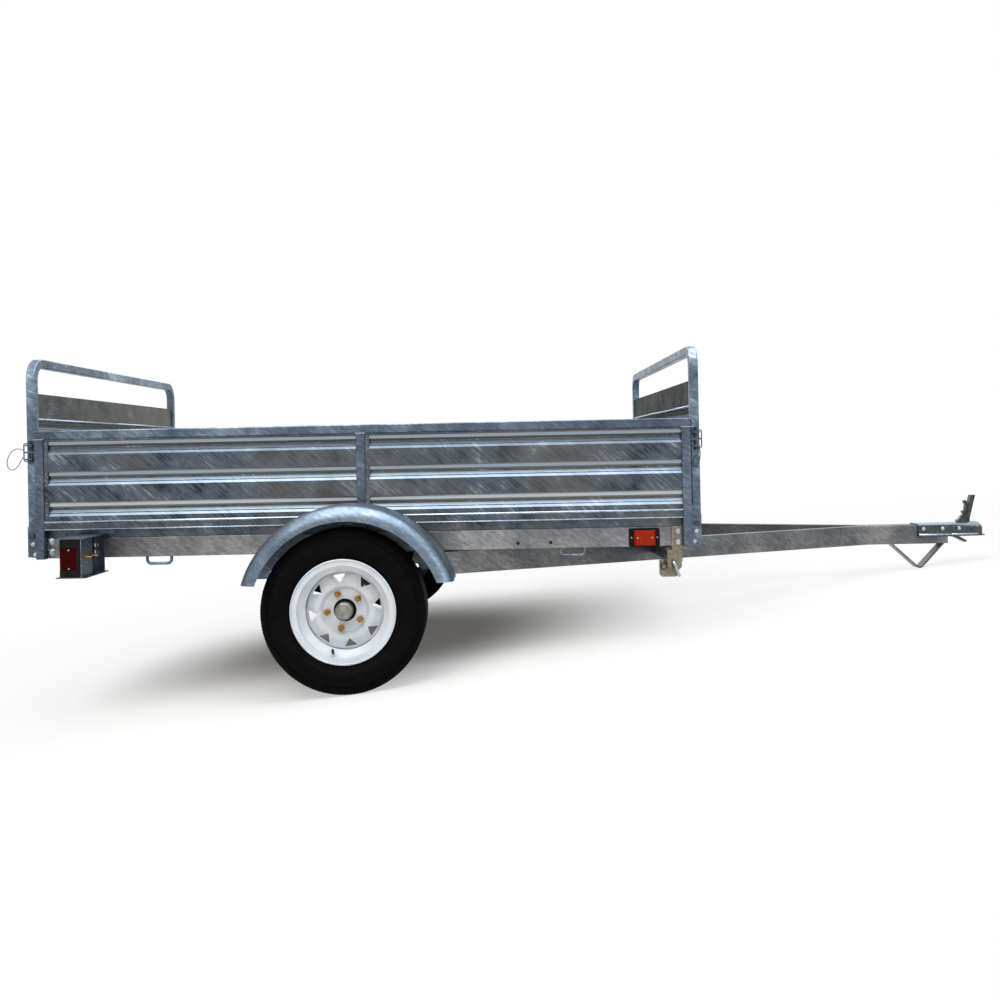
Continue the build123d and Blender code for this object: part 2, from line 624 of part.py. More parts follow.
def lanyard(gate):
    points = lanyard_points(gate)
    path = FilletPolyline(*points, radius=cord_radii(points))
    start = Plane(origin=points[0], z_dir=Vector(*points[1]) - Vector(*points[0]))
    return sweep(start * Circle(LANYARD_DIAMETER / 2), path=path)


# Axle, springs and wheels.
def axle_beam():
    beam_end = WHEEL_Y - HUB_BACK - AXLE_END_GAP
    half = AXLE_BEAM / 2
    beam = box_between((-half, -beam_end, WHEEL_RADIUS - half), (half, beam_end, WHEEL_RADIUS + half))
    beam = fillet(beam.edges().filter_by(Axis.Y), TUBE_CORNER)
    for side in (-1, 1):
        beam += rod_y(SPINDLE_DIAMETER, 0, WHEEL_RADIUS, side * beam_end, side * (WHEEL_Y + SPINDLE_REACH))
    return beam


def spring_seat():
    return WHEEL_RADIUS + AXLE_BEAM / 2


def spring_radius():
    """Radius of the longest leaf's upper side."""
    return (SPRING_HALF_LENGTH ** 2 + SPRING_CAMBER ** 2) / (2 * SPRING_CAMBER)


def spring_eye_height():
    return spring_seat() + SPRING_LEAF * len(LEAF_SHARES) + SPRING_CAMBER


def leaf_spring():
    """Right-hand pack of curved leaves, the longest with a rolled eye at each end."""
    centre_z = spring_seat() + SPRING_LEAF * len(LEAF_SHARES) + spring_radius()
    half_sweep = math.asin(SPRING_HALF_LENGTH / spring_radius())
    pack = Part()
    for number, share in enumerate(LEAF_SHARES):
        inner = spring_radius() + number * SPRING_LEAF
        turn = math.degrees(half_sweep) * share
        leaf = CenterArc((0, centre_z), inner, 270 - turn, 2 * turn)
        leaf_face = make_face(offset(leaf, amount=SPRING_LEAF, side=Side.RIGHT))
        pack += extrude(Plane.XZ * leaf_face, amount=SPRING_WIDTH / 2, both=True)
    for side in (-1, 1):
        x = side * SPRING_HALF_LENGTH
        pack += rod_y(SPRING_EYE_DIAMETER, x, spring_eye_height(), -SPRING_WIDTH / 2, SPRING_WIDTH / 2)
    for side in (-1, 1):
        x = side * SPRING_HALF_LENGTH
        pack -= rod_y(SPRING_PIN_DIAMETER, x, spring_eye_height(), -SPRING_WIDTH, SPRING_WIDTH)
    return Pos(0, -SPRING_Y, 0) * pack


def spring_hanger(side):
    """Channel under the right-hand rail with the pin that carries one spring eye."""
    x = side * SPRING_HALF_LENGTH
    half = SPRING_EYE_DIAMETER / 2 + HANGER_SHEET
    eye = spring_eye_height()
    inner = SPRING_WIDTH / 2 + BRACKET_CLEARANCE / 2
    hanger = box_between((x - half, -inner - HANGER_SHEET, RAIL_BOTTOM - HANGER_SHEET),
                         (x + half, inner + HANGER_SHEET, RAIL_BOTTOM))
    for y_from, y_to in ((-inner - HANGER_SHEET, -inner), (inner, inner + HANGER_SHEET)):
        cheek = box_between((x - half, y_from, eye), (x + half, y_to, RAIL_BOTTOM))
        hanger += cheek + rod_y(2 * half, x, eye, y_from, y_to)
    hanger += rod_y(SPRING_PIN_DIAMETER, x, eye, -inner - 2 * HANGER_SHEET, inner + 2 * HANGER_SHEET)
    return Pos(0, -SPRING_Y, 0) * hanger


def spring_clamp():
    """Plate under the axle and a pair of bent rods that clamp the right-hand spring to it."""
    top = spring_seat() + SPRING_LEAF * len(LEAF_SHARES) + CLAMP_ROD_DIAMETER / 2
    low = WHEEL_RADIUS - AXLE_BEAM / 2 - CLAMP_PLATE
    reach = SPRING_WIDTH / 2 + CLAMP_ROD_DIAMETER / 2 + BRACKET_CLEARANCE
    plate_half = CLAMP_HALF_SPREAD + CLAMP_ROD_DIAMETER
    clamp = box_between((-plate_half, -reach - CLAMP_ROD_DIAMETER, low),
                        (plate_half, reach + CLAMP_ROD_DIAMETER, low + CLAMP_PLATE))
    rise = CLAMP_HALF_SPREAD ** 2 / (2 * spring_radius())
    for side in (-1, 1):
        x = side * CLAMP_HALF_SPREAD
        end = low - CLAMP_ROD_DIAMETER
        high = top + rise + CLAMP_ROD_DIAMETER / 4
        path = FilletPolyline((x, -reach, end), (x, -reach, high), (x, reach, high), (x, reach, end),
                              radius=CLAMP_ROD_DIAMETER)
        clamp += sweep(Pos(x, -reach, end) * Circle(CLAMP_ROD_DIAMETER / 2), path=path)
    return Pos(0, -SPRING_Y, 0) * clamp


def on_right_wheel(shape):
    """Turn a shape drawn about Z, outer side up, onto the right-hand wheel's axis."""
    return Pos(0, -WHEEL_Y, WHEEL_RADIUS) * Rot(90, 0, 0) * shape


def about_wheel_axis(face):
    """Revolve a half-section, drawn as radius and height, about Z."""
    return revolve(Plane.XZ * face, Axis.Z)


def tyre_outline(bead, bead_half, crown, grow):
    """Half-section of a tyre's outside, or of its hollow when it is shrunk by grow."""
    bulge = TYRE_WIDTH / 2 - grow
    shoulder = SHOULDER_WIDTH / 2 - grow
    tread = TREAD_WIDTH / 2 - grow / 2
    flange = RIM_FLANGE_DIAMETER / 2 + FLANGE_COVER
    waist = flange + BULGE_RISE
    edge = crown - SHOULDER_DROP
    line = Line((bead, -bead_half), (bead, bead_half))
    line += Line((bead, bead_half), (flange, bead_half))
    line += ThreePointArc((flange, bead_half), (waist, bulge), (edge, shoulder))
    line += Polyline((edge, shoulder), (crown, tread), (crown, -tread), (edge, -shoulder))
    line += ThreePointArc((edge, -shoulder), (waist, -bulge), (flange, -bead_half))
    line += Line((flange, -bead_half), (bead, -bead_half))
    return make_face(line)


def tyre():
    seat = RIM_SEAT_DIAMETER / 2 + PIN_CLEARANCE
    bead_half = RIM_WIDTH / 2 - PIN_CLEARANCE
    outside = tyre_outline(seat, bead_half, WHEEL_RADIUS, 0)
    hollow = tyre_outline(seat - CUT_SPARE, bead_half - TYRE_WALL, WHEEL_RADIUS - TYRE_WALL, TYRE_WALL)
    return about_wheel_axis(outside - hollow)


def spoke_plan():
    """Plan of one spoke along X, narrower towards the rim."""
    root = SPOKE_ROOT_WIDTH / 2
    tip = SPOKE_TIP_WIDTH / 2
    return make_face(Polyline((SPOKE_ROOT_RADIUS, -root), (SPOKE_TIP_RADIUS, -tip), (SPOKE_TIP_RADIUS, tip),
                              (SPOKE_ROOT_RADIUS, root), close=True))


def wheel_rim():
    """Drop-centre rim and dished disc, with raised spokes between its vents and holes for the studs."""
    flange = RIM_FLANGE_DIAMETER / 2
    seat = RIM_SEAT_DIAMETER / 2
    well = RIM_WELL_DIAMETER / 2
    half = RIM_WIDTH / 2
    outer_seat = half - RIM_SEAT_WIDTH
    inner_seat = RIM_INNER_SEAT_WIDTH - half
    step = flange - RIM_CURL_STEP
    line = [(flange, half + RIM_CURL), (step, half), (seat, half), (seat, outer_seat),
            (well, outer_seat - RIM_WELL_SLOPE), (well, inner_seat + RIM_INNER_SLOPE), (seat, inner_seat),
            (seat, -half), (step, -half), (flange, -half - RIM_CURL)]
    rim = about_wheel_axis(sheet_face(line, -RIM_SHEET))
    edge = well - RIM_SHEET / 2
    dish = [(edge - inset, height) for inset, height in DISC_STEPS] + [(DISC_BORE_DIAMETER / 2, DISC_FACE)]
    disc = about_wheel_axis(sheet_face(dish, RIM_SHEET))
    lifted = [(radius, height + SPOKE_RISE) for radius, height in dish]
    raised = about_wheel_axis(sheet_face(lifted, RIM_SHEET))
    for number in range(VENT_COUNT):
        angle = VENT_FIRST_ANGLE + (number + 0.5) * 360 / VENT_COUNT
        disc += raised & Rot(0, 0, angle) * extrude(spoke_plan(), amount=RIM_WIDTH / 2, both=True)
    for number in range(STUD_COUNT):
        angle = STUD_FIRST_ANGLE + number * 360 / STUD_COUNT
        disc -= Rot(0, 0, angle) * Pos(STUD_CIRCLE / 2, 0, 0) * Cylinder(STUD_HOLE_DIAMETER / 2, RIM_WIDTH)
    for number in range(VENT_COUNT):
        angle = VENT_FIRST_ANGLE + number * 360 / VENT_COUNT
        vent = make_face(Polyline((VENT_OUTER_RADIUS, -VENT_WIDTH / 2), (VENT_OUTER_RADIUS, VENT_WIDTH / 2),
                                  (VENT_OUTER_RADIUS - VENT_HEIGHT, 0), close=True))
        vent = fillet(vent.vertices(), VENT_ROUND)
        disc -= Rot(0, 0, angle) * extrude(vent, amount=RIM_WIDTH / 2, both=True)
    return rim + disc


def hub():
    """Hub with its wheel flange, bored for the spindle, and the grease cap on its outer end."""
    radius = HUB_DIAMETER / 2
    cap = GREASE_CAP_DIAMETER / 2
    face = DISC_FACE - RIM_SHEET - HUB_FACE_GAP
    back = -HUB_BACK
    bored = SPINDLE_DIAMETER / 2 + PIN_CLEARANCE
    deep = SPINDLE_REACH + SPINDLE_END_GAP
    lid = GREASE_CAP_REACH
    flange = STUD_CIRCLE / 2 + STUD_HOLE_DIAMETER
    line = [(bored, back), (radius, back), (radius, face - HUB_FLANGE), (flange, face - HUB_FLANGE),
            (flange, face), (radius, face), (radius, HUB_NOSE), (cap, HUB_NOSE),
            (cap, lid - GREASE_CAP_ROUND), (cap - GREASE_CAP_ROUND, lid), (0, lid), (0, deep), (bored, deep)]
    return about_wheel_axis(make_face(Polyline(*line, close=True)))


# Fenders, lamps and hooks.
def fender():
    """Right-hand fender: one bent section turned about a line across the trailer, its ends cut level."""
    near = OUTSIDE + FENDER_GAP
    far = near + FENDER_WIDTH
    low = FENDER_RADIUS - FENDER_LIP
    path = FilletPolyline((low, near), (FENDER_RADIUS, near), (FENDER_RADIUS, far), (low, far),
                          radius=[FENDER_INNER_BEND, FENDER_OUTER_BEND])
    section = Plane.XZ * make_face(offset(path, amount=SHEET, side=Side.LEFT))
    arch = revolve(Rot(0, 0, 90 - FENDER_HALF_ANGLE) * section, Axis.Z, 2 * FENDER_HALF_ANGLE)
    arch = Pos(FENDER_CENTRE_X, 0, FENDER_CENTRE_Z) * Rot(90, 0, 0) * arch
    reach = FENDER_RADIUS + FENDER_CENTRE_X + CUT_SPARE
    high = FENDER_CENTRE_Z + FENDER_RADIUS + CUT_SPARE
    return arch & box_between((-reach, -far - CUT_SPARE, FENDER_END_HEIGHT), (reach, -OUTSIDE, high))


def fender_spacers():
    """Short tubes that carry the right-hand fender on the rail's outer face."""
    spacers = []
    for side in (-1, 1):
        angle = math.radians(FENDER_SPACER_ANGLE)
        x = FENDER_CENTRE_X + side * FENDER_SPACER_RADIUS * math.sin(angle)
        z = FENDER_CENTRE_Z + FENDER_SPACER_RADIUS * math.cos(angle)
        half = FENDER_SPACER / 2
        low = (x - half, -OUTSIDE - FENDER_GAP, z - half)
        spacers.append(tube_between(low, (x + half, -INSIDE, z + half), "Y"))
    return spacers


def lamp_bracket():
    """Right-hand lamp bracket: plates on the rail, above and below the lamp, and the one that carries it."""
    low = TAIL_BRACKET_BOTTOM
    high = TAIL_BRACKET_TOP
    rear = TAIL_BRACKET_FRONT - TAIL_BRACKET_DEPTH
    outer = INSIDE + TAIL_BRACKET_REACH
    sheet = TAIL_BRACKET_SHEET
    bracket = box_between((rear, -INSIDE - sheet, low), (LAMP_PLATE_FRONT, -INSIDE, high))
    for bottom in (low, high - sheet):
        bracket += box_between((rear, -outer, bottom), (TAIL_BRACKET_FRONT, -INSIDE, bottom + sheet))
    return bracket + box_between((LAMP_PLATE_FRONT - sheet, -outer, low),
                                 (LAMP_PLATE_FRONT, LAMP_PLATE_WIDTH - outer, high))


def lamp_box():
    """Outer limits of the right-hand tail lamp, standing on its bracket's lamp plate."""
    front = LAMP_PLATE_FRONT - TAIL_BRACKET_SHEET
    outer = -INSIDE - TAIL_BRACKET_REACH + TAIL_BRACKET_SHEET
    low = TAIL_BRACKET_BOTTOM + TAIL_BRACKET_SHEET + TAIL_LAMP_GAP
    high = TAIL_BRACKET_TOP - TAIL_BRACKET_SHEET - TAIL_LAMP_GAP
    return (front - TAIL_LAMP_DEPTH, outer, low), (front, outer + TAIL_LAMP_WIDTH, high)


def lens_box():
    """Limits of the red lens, which wraps round the rear and the outer side of the lamp."""
    low, high = lamp_box()
    floor = low[2] + TAIL_LENS_FLOOR
    high = (high[0] - TAIL_LAMP_BASE, high[1] - TAIL_LENS_INSET, floor + TAIL_LENS_HEIGHT)
    return (low[0], low[1], floor), high


def tail_lamp_body():
    low, high = lamp_box()
    body = fillet(box_between(low, high).edges().filter_by(Axis.Z), TAIL_LAMP_ROUND)
    lens_low, lens_high = lens_box()
    pocket_low = (lens_low[0] - CUT_SPARE, lens_low[1] - CUT_SPARE, lens_low[2])
    return body - box_between(pocket_low, lens_high)


def tail_lamp_lens():
    low, high = lens_box()
    lens = box_between(low, high)
    return fillet(lens.edges().filter_by(Axis.Z).group_by(Axis.X)[0], TAIL_LENS_ROUND)


def marker_base():
    middle = RAIL_BOTTOM + MARKER_HEIGHT / 2
    low = (MARKER_CENTRE - MARKER_LENGTH / 2, -INSIDE - MARKER_BASE, middle - MARKER_HEIGHT / 2)
    base = box_between(low, (MARKER_CENTRE + MARKER_LENGTH / 2, -INSIDE, middle + MARKER_HEIGHT / 2))
    return fillet(base.edges().filter_by(Axis.Y), MARKER_ROUND)


def marker_lens():
    middle = RAIL_BOTTOM + MARKER_HEIGHT / 2
    face = -INSIDE - MARKER_BASE
    low = (MARKER_CENTRE - MARKER_LENS_LENGTH / 2, face - MARKER_LENS_RISE, middle - MARKER_LENS_HEIGHT / 2)
    lens = box_between(low, (MARKER_CENTRE + MARKER_LENS_LENGTH / 2, face, middle + MARKER_LENS_HEIGHT / 2))
    return chamfer(lens.faces().sort_by(Axis.Y)[0].edges(), MARKER_LENS_BEVEL)


def rope_hook(x):
    """Bent rod under the right-hand rail."""
    half = HOOK_SPAN / 2
    low = RAIL_BOTTOM - HOOK_DROP + HOOK_ROD / 2
    y = -INSIDE + HOOK_ROD
    path = FilletPolyline((x - half, y, RAIL_BOTTOM), (x - half, y, low), (x + half, y, low),
                          (x + half, y, RAIL_BOTTOM), radius=HOOK_BEND)
    start = Plane(origin=(x - half, y, RAIL_BOTTOM), z_dir=(0, 0, -1))
    return sweep(start * Circle(HOOK_ROD / 2), path=path)


# Drawbar.
def arm_outer_y(x):
    """Outer face of the right-hand arm at a place along the trailer."""
    return -(NOSE_WIDTH / 2 + (NOSE_START - x) * ARM_SLOPE)


def arm_outline(x_from, x_to, grow=0.0):
    """Plan of the right-hand arm between two places, with its sides moved out by grow."""
    across = ARM_WIDTH / math.cos(math.radians(ARM_HALF_ANGLE))
    out = grow / math.cos(math.radians(ARM_HALF_ANGLE))
    points = [(x_from, arm_outer_y(x_from) - out), (x_to, arm_outer_y(x_to) - out),
              (x_to, arm_outer_y(x_to) + across + out), (x_from, arm_outer_y(x_from) + across + out)]
    return make_face(Polyline(*points, close=True))


def drawbar_arm():
    """Right-hand arm: box tube from the tilt shaft to the nose, cut square to the trailer at both ends."""
    tail = PIVOT_X - PIVOT_TAIL
    arm = Pos(0, 0, ARM_BOTTOM) * extrude(arm_outline(tail, NOSE_START), amount=ARM_HEIGHT)
    inside = arm_outline(tail - CUT_SPARE, NOSE_START + CUT_SPARE, -ARM_WALL)
    hollow = extrude(inside, amount=ARM_HEIGHT - 2 * ARM_WALL)
    arm -= Pos(0, 0, ARM_BOTTOM + ARM_WALL) * hollow
    arm -= rod_y(PIVOT_SHAFT_DIAMETER + 2 * PIN_CLEARANCE, PIVOT_X, ARM_MIDDLE, -OUTSIDE, 0)
    return arm & box_between((0, -OUTSIDE, 0), (NOSE_END, 0, ARM_TOP))


def nose_tube():
    half = NOSE_WIDTH / 2
    return tube_between((NOSE_START, -half, ARM_BOTTOM), (NOSE_END, half, ARM_TOP), "X", ARM_WALL)


def tilt_shaft():
    return rod_y(PIVOT_SHAFT_DIAMETER, PIVOT_X, ARM_MIDDLE, -INSIDE, INSIDE)


def tilt_hanger():
    """Plate under the middle cross beam that carries the tilt shaft inside the right-hand arm."""
    y = PIVOT_HANGER_INSET - INSIDE
    half = RAIL_WIDTH / 2
    high = (PIVOT_X + half, y + PIVOT_HANGER_SHEET, RAIL_BOTTOM)
    hanger = box_between((PIVOT_X - half, y, ARM_MIDDLE), high)
    hanger += rod_y(RAIL_WIDTH, PIVOT_X, ARM_MIDDLE, y, y + PIVOT_HANGER_SHEET)
    return hanger - rod_y(PIVOT_SHAFT_DIAMETER, PIVOT_X, ARM_MIDDLE, -OUTSIDE, 0)


def latch_eye_y():
    """Inner face of the drawbar's right-hand latch plate, under the middle of the rail."""
    return RAIL_WIDTH / 2 - INSIDE


def latch_cross_tube():
    """Tube across the drawbar under the front of the bed, cut where the arms pass through it."""
    low = (LATCH_X - LATCH_TUBE / 2, latch_eye_y(), ARM_TOP - LATCH_TUBE_GAP - LATCH_TUBE)
    high = (LATCH_X + LATCH_TUBE / 2, -latch_eye_y(), ARM_TOP - LATCH_TUBE_GAP)
    tube = tube_between(low, high, "Y")
    plan = arm_outline(LATCH_X - LATCH_TUBE, LATCH_X + LATCH_TUBE)
    arm = Pos(0, 0, ARM_BOTTOM) * extrude(plan, amount=ARM_HEIGHT)
    for piece in both_sides(arm):
        tube -= piece
    return tube.solids()


def latch_line(outline):
    """Points of an outline that is drawn from the latch pin."""
    return [(LATCH_X + ahead, LATCH_PIN_Z + up) for ahead, up in outline]


def latch_eye():
    """Plate on the end of the drawbar's cross tube, cut away behind the tube."""
    y = latch_eye_y()
    eye = side_profile(latch_line(LATCH_EYE_OUTLINE), y - LATCH_PLATE_SHEET, y)
    eye = fillet(eye.edges().filter_by(Axis.Y).group_by(Axis.Z)[0], LATCH_EYE_ROUND)
    return eye - rod_y(LATCH_PIN_DIAMETER, LATCH_X, LATCH_PIN_Z, -OUTSIDE, 0)


def latch_plate():
    """Plate bolted to the right-hand rail, with a slot, open below, round the latch pin."""
    outer = -INSIDE - LATCH_PLATE_SHEET
    plate = side_profile(latch_line(LATCH_PLATE_OUTLINE), outer, -INSIDE)
    rear, front = LATCH_PLATE_REACH
    plate += box_between((LATCH_X + rear, outer, LATCH_PIN_Z), (LATCH_X + front, -INSIDE, RAIL_TOP))
    slot = LATCH_PIN_DIAMETER / 2 + LATCH_SLOT_CLEARANCE
    plate -= rod_y(2 * slot, LATCH_X, LATCH_PIN_Z, -OUTSIDE, 0)
    return plate - box_between((LATCH_X - slot, -OUTSIDE, 0), (LATCH_X + slot, 0, LATCH_PIN_Z))


def latch_pin():
    """Pin held in the drawbar's latch plate, with its outer end bent down as a handle."""
    z = LATCH_PIN_Z
    lean = math.radians(LATCH_HANDLE_LEAN)
    out = -INSIDE - LATCH_PLATE_SHEET - LATCH_PIN_DIAMETER
    end = (LATCH_X + LATCH_HANDLE_LENGTH * math.sin(lean), out, z - LATCH_HANDLE_LENGTH * math.cos(lean))
    inner_end = latch_eye_y()
    path = FilletPolyline((LATCH_X, inner_end, z), (LATCH_X, out, z), end, radius=LATCH_HANDLE_BEND)
    start = Plane(origin=(LATCH_X, inner_end, z), z_dir=(0, -1, 0))
    return sweep(start * Circle(LATCH_PIN_DIAMETER / 2), path=path)


# Coupler and parking foot.
def coupler_plan(grow):
    """Plan of the coupler's shell: straight sides, a taper and a round nose about the ball."""
    half = NOSE_WIDTH / 2 + COUPLER_FIT + grow
    nose = BALL_RADIUS + grow
    line = Polyline((BALL_X, nose), (COUPLER_TAPER, half), (COUPLER_START, half), (COUPLER_START, -half),
                    (COUPLER_TAPER, -half), (BALL_X, -nose))
    line += ThreePointArc((BALL_X, -nose), (BALL_X + nose, 0), (BALL_X, nose))
    return make_face(line)


def coupler_section(x, half, high, edge):
    """Cross-section of the coupler's shell above its skirt, its two top edges rounded."""
    low = COUPLER_SKIRT
    middle = edge * (1 - math.sqrt(0.5))
    line = Polyline((half, high - edge), (half, low), (-half, low), (-half, high - edge))
    line += ThreePointArc((-half, high - edge), (middle - half, high - middle), (edge - half, high))
    line += Line((edge - half, high), (half - edge, high))
    line += ThreePointArc((half - edge, high), (half - middle, high - middle), (half, high - edge))
    face = Plane.YZ * make_face(line)
    return Pos(x, 0, 0) * face


def coupler():
    """Pressed channel over the nose tube, drawn in to a domed ball socket and flanged along its foot."""
    half = NOSE_WIDTH / 2 + COUPLER_FIT
    nose = BALL_RADIUS + DOME_WALL
    start = coupler_section(COUPLER_START, half + DOME_WALL, COUPLER_TOP, COUPLER_EDGE)
    taper = coupler_section(COUPLER_TAPER, half + DOME_WALL, COUPLER_TOP, COUPLER_EDGE)
    neck = coupler_section(BALL_X, nose, BALL_Z + nose, nose - DOME_CROWN)
    shell = extrude(start, amount=COUPLER_TAPER - COUPLER_START) + loft([taper, neck])
    dome = Pos(BALL_X, 0, BALL_Z) * Sphere(nose)
    above_skirt = (BALL_X + NOSE_WIDTH, NOSE_WIDTH, COUPLER_TOP + NOSE_WIDTH)
    shell += dome & box_between((COUPLER_START, -NOSE_WIDTH, COUPLER_SKIRT), above_skirt)
    deep = BALL_Z - COUPLER_SKIRT
    shell += Pos(BALL_X, 0, COUPLER_SKIRT + deep / 2) * Cylinder(nose, deep)
    room = (NOSE_END + COUPLER_NOSE_ROOM, half, ARM_TOP + COUPLER_FIT)
    shell -= box_between((COUPLER_START - CUT_SPARE, -half, COUPLER_SKIRT - CUT_SPARE), room)
    flange = extrude(coupler_plan(DOME_WALL + COUPLER_FLANGE), amount=COUPLER_SHEET)
    flange -= extrude(coupler_plan(0), amount=COUPLER_SHEET)
    shell += Pos(0, 0, COUPLER_SKIRT) * flange
    shell -= Pos(BALL_X, 0, BALL_Z) * Sphere(BALL_RADIUS)
    socket = deep + CUT_SPARE
    return shell - Pos(BALL_X, 0, BALL_Z - socket / 2) * Cylinder(BALL_RADIUS, socket)


def coupler_clamp():
    """Tongue of the ball clamp, which shows under the coupler behind the ball."""
    line = [(NOSE_END + ahead, COUPLER_SKIRT + up) for ahead, up in CLAMP_OUTLINE]
    return side_profile(line, -CLAMP_JAW_WIDTH / 2, CLAMP_JAW_WIDTH / 2)


def coupler_lever():
    """Upright latch lever, its foot cut to the coupler's rising top, and the trigger behind it."""
    half = LEVER_WIDTH / 2
    shape = side_profile([(BALL_X + ahead, COUPLER_TOP + up) for ahead, up in LEVER_OUTLINE], -half, half)
    inner = half - LEVER_SHEET
    trigger = [(BALL_X + ahead, COUPLER_TOP + up) for ahead, up in TRIGGER_OUTLINE]
    return shape + side_profile(trigger, -inner, inner) - coupler()


def parking_foot():
    """Strap bent to a V under the nose tube."""
    path = FilletPolyline((FOOT_REAR_X, ARM_BOTTOM), (FOOT_LOW_X, FOOT_LOW_Z), (FOOT_FRONT_X, ARM_BOTTOM),
                          radius=FOOT_BEND)
    strap = make_face(offset(path, amount=FOOT_STRAP / 2, side=Side.BOTH))
    foot = extrude(Plane.XZ * strap, amount=FOOT_WIDTH / 2, both=True)
    room = (FOOT_FRONT_X + FOOT_WIDTH, FOOT_WIDTH, ARM_TOP)
    return foot - box_between((FOOT_REAR_X - FOOT_WIDTH, -FOOT_WIDTH, ARM_BOTTOM), room)


def level_nodes():
    """Every node of the trailer, drawn level, as a list of solids."""
    nodes = {
        "side_rails": both_sides(side_rail()),
        "cross_beams": cross_beams(),
        "deck_floor": [deck_floor()],
        "side_posts": [piece for post in posts() for piece in both_sides(post)],
        "top_rails": both_sides(top_rail()),
        "right_wall": wall_bays(),
        "left_wall": [mirror(bay, about=Plane.XZ) for bay in wall_bays()],
        "hinge_brackets": [piece for gate in GATES for piece in both_sides(hinge_bracket(gate))],
        "hinge_pins": [piece for gate in GATES for piece in both_sides(hinge_pin(gate))],
        "post_forks": [piece for gate in GATES for piece in both_sides(post_fork(gate))],
        "axle_beam": [axle_beam()],
        "leaf_springs": both_sides(leaf_spring()),
        "spring_hangers": [piece for side in (-1, 1) for piece in both_sides(spring_hanger(side))],
        "spring_clamps": both_sides(spring_clamp()),
        "right_fender": [fender()],
        "left_fender": [mirror(fender(), about=Plane.XZ)],
        "fender_spacers": [piece for spacer in fender_spacers() for piece in both_sides(spacer)],
        "lamp_brackets": both_sides(lamp_bracket()),
        "tail_lamp_bodies": both_sides(tail_lamp_body()),
        "tail_lamp_lenses": both_sides(tail_lamp_lens()),
        "marker_bases": both_sides(marker_base()),
        "marker_lenses": both_sides(marker_lens()),
        "rope_hooks": [piece for x in HOOK_PLACES for piece in both_sides(rope_hook(x))],
        "tilt_shaft": [tilt_shaft()],
        "tilt_hangers": both_sides(tilt_hanger()),
        "latch_plates": both_sides(latch_plate()),
        "right_arm": [drawbar_arm()],
        "left_arm": [mirror(drawbar_arm(), about=Plane.XZ)],
        "nose_tube": [nose_tube()],
        "latch_cross_tube": latch_cross_tube(),
        "latch_eyes": both_sides(latch_eye()),
        "latch_pins": both_sides(latch_pin()),
        "coupler": [coupler()],
        "coupler_clamp": [coupler_clamp()],
        "coupler_lever": [coupler_lever()],
        "parking_foot": [parking_foot()],
    }
    for gate in GATES:
        nodes[gate + "_gate_hoop"] = [gate_hoop(gate)]
        nodes[gate + "_gate_sheet"] = [gate_sheet(gate)]
        nodes[gate + "_gate_lugs"] = [piece for lug in catch_lugs(gate) for piece in both_sides(lug)]
        nodes[gate + "_catch_pins"] = both_sides(catch_pin(gate))
        for name, piece in zip(("right", "left"), both_sides(lanyard(gate))):
            nodes[name + "_" + gate + "_lanyard"] = [piece]
    wheel = {"tyre": tyre(), "wheel_rim": wheel_rim(), "hub": hub()}
    for piece_name, shape in wheel.items():
        for name, piece in zip(("right", "left"), both_sides(on_right_wheel(shape))):
            nodes[name + "_" + piece_name] = [piece]
    return nodes


def parked_location(nodes):
    """Turn to the parked pitch, then the shift that brings the origin under the middle of the box."""
    turn = Rot(0, parked_pitch(), 0)
    solids = [piece for name, pieces in nodes.items() if "lanyard" not in name for piece in pieces]
    box = Compound([turn * piece for piece in solids]).bounding_box()
    wheel_centre = turn * Pos(0, 0, WHEEL_RADIUS)
    drop = WHEEL_RADIUS - wheel_centre.position.Z
    return Pos(-(box.min.X + box.max.X) / 2, 0, drop) * turn


def main():
    os.makedirs("parts", exist_ok=True)
    nodes = level_nodes()
    parked = parked_location(nodes)
    for name, pieces in nodes.items():
        solids = [solid for piece in pieces for solid in (parked * piece).solids()]
        export_step(solids[0] if len(solids) == 1 else Compound(solids), "parts/" + name + ".step")
    for gate in GATES:
        radii = [round(radius, 1) for radius in cord_radii(lanyard_points(gate))]
        print(gate, "lanyard radii", radii)
    print("parked pitch", round(parked_pitch(), 3))


if __name__ == "__main__":
    main()
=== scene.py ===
import bpy
import json
import math
from mathutils import Matrix, Vector


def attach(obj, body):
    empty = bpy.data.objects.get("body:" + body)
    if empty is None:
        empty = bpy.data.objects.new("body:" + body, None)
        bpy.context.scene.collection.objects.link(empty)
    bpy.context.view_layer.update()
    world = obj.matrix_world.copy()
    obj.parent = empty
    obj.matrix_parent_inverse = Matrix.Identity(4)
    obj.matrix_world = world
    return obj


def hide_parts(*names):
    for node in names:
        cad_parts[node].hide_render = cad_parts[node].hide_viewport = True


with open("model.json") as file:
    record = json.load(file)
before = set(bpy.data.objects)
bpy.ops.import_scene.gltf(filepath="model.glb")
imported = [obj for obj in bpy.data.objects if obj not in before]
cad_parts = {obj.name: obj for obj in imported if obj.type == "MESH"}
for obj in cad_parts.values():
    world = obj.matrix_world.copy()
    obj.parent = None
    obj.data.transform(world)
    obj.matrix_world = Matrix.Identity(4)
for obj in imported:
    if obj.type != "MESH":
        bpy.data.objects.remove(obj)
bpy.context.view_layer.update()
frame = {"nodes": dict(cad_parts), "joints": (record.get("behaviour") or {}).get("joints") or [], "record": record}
bpy.ops.object.select_all(action="DESELECT")
nodes = frame["nodes"]
joints = {joint["name"]: joint for joint in frame["joints"]}

# Sizes are millimetres on the level trailer: X forward from the axle, Y to the left, Z up from the road.
MM = 0.001
WHEEL_RADIUS = 265.0
WHEEL_Y = 900.0
SIDES = {"right": -1, "left": 1}

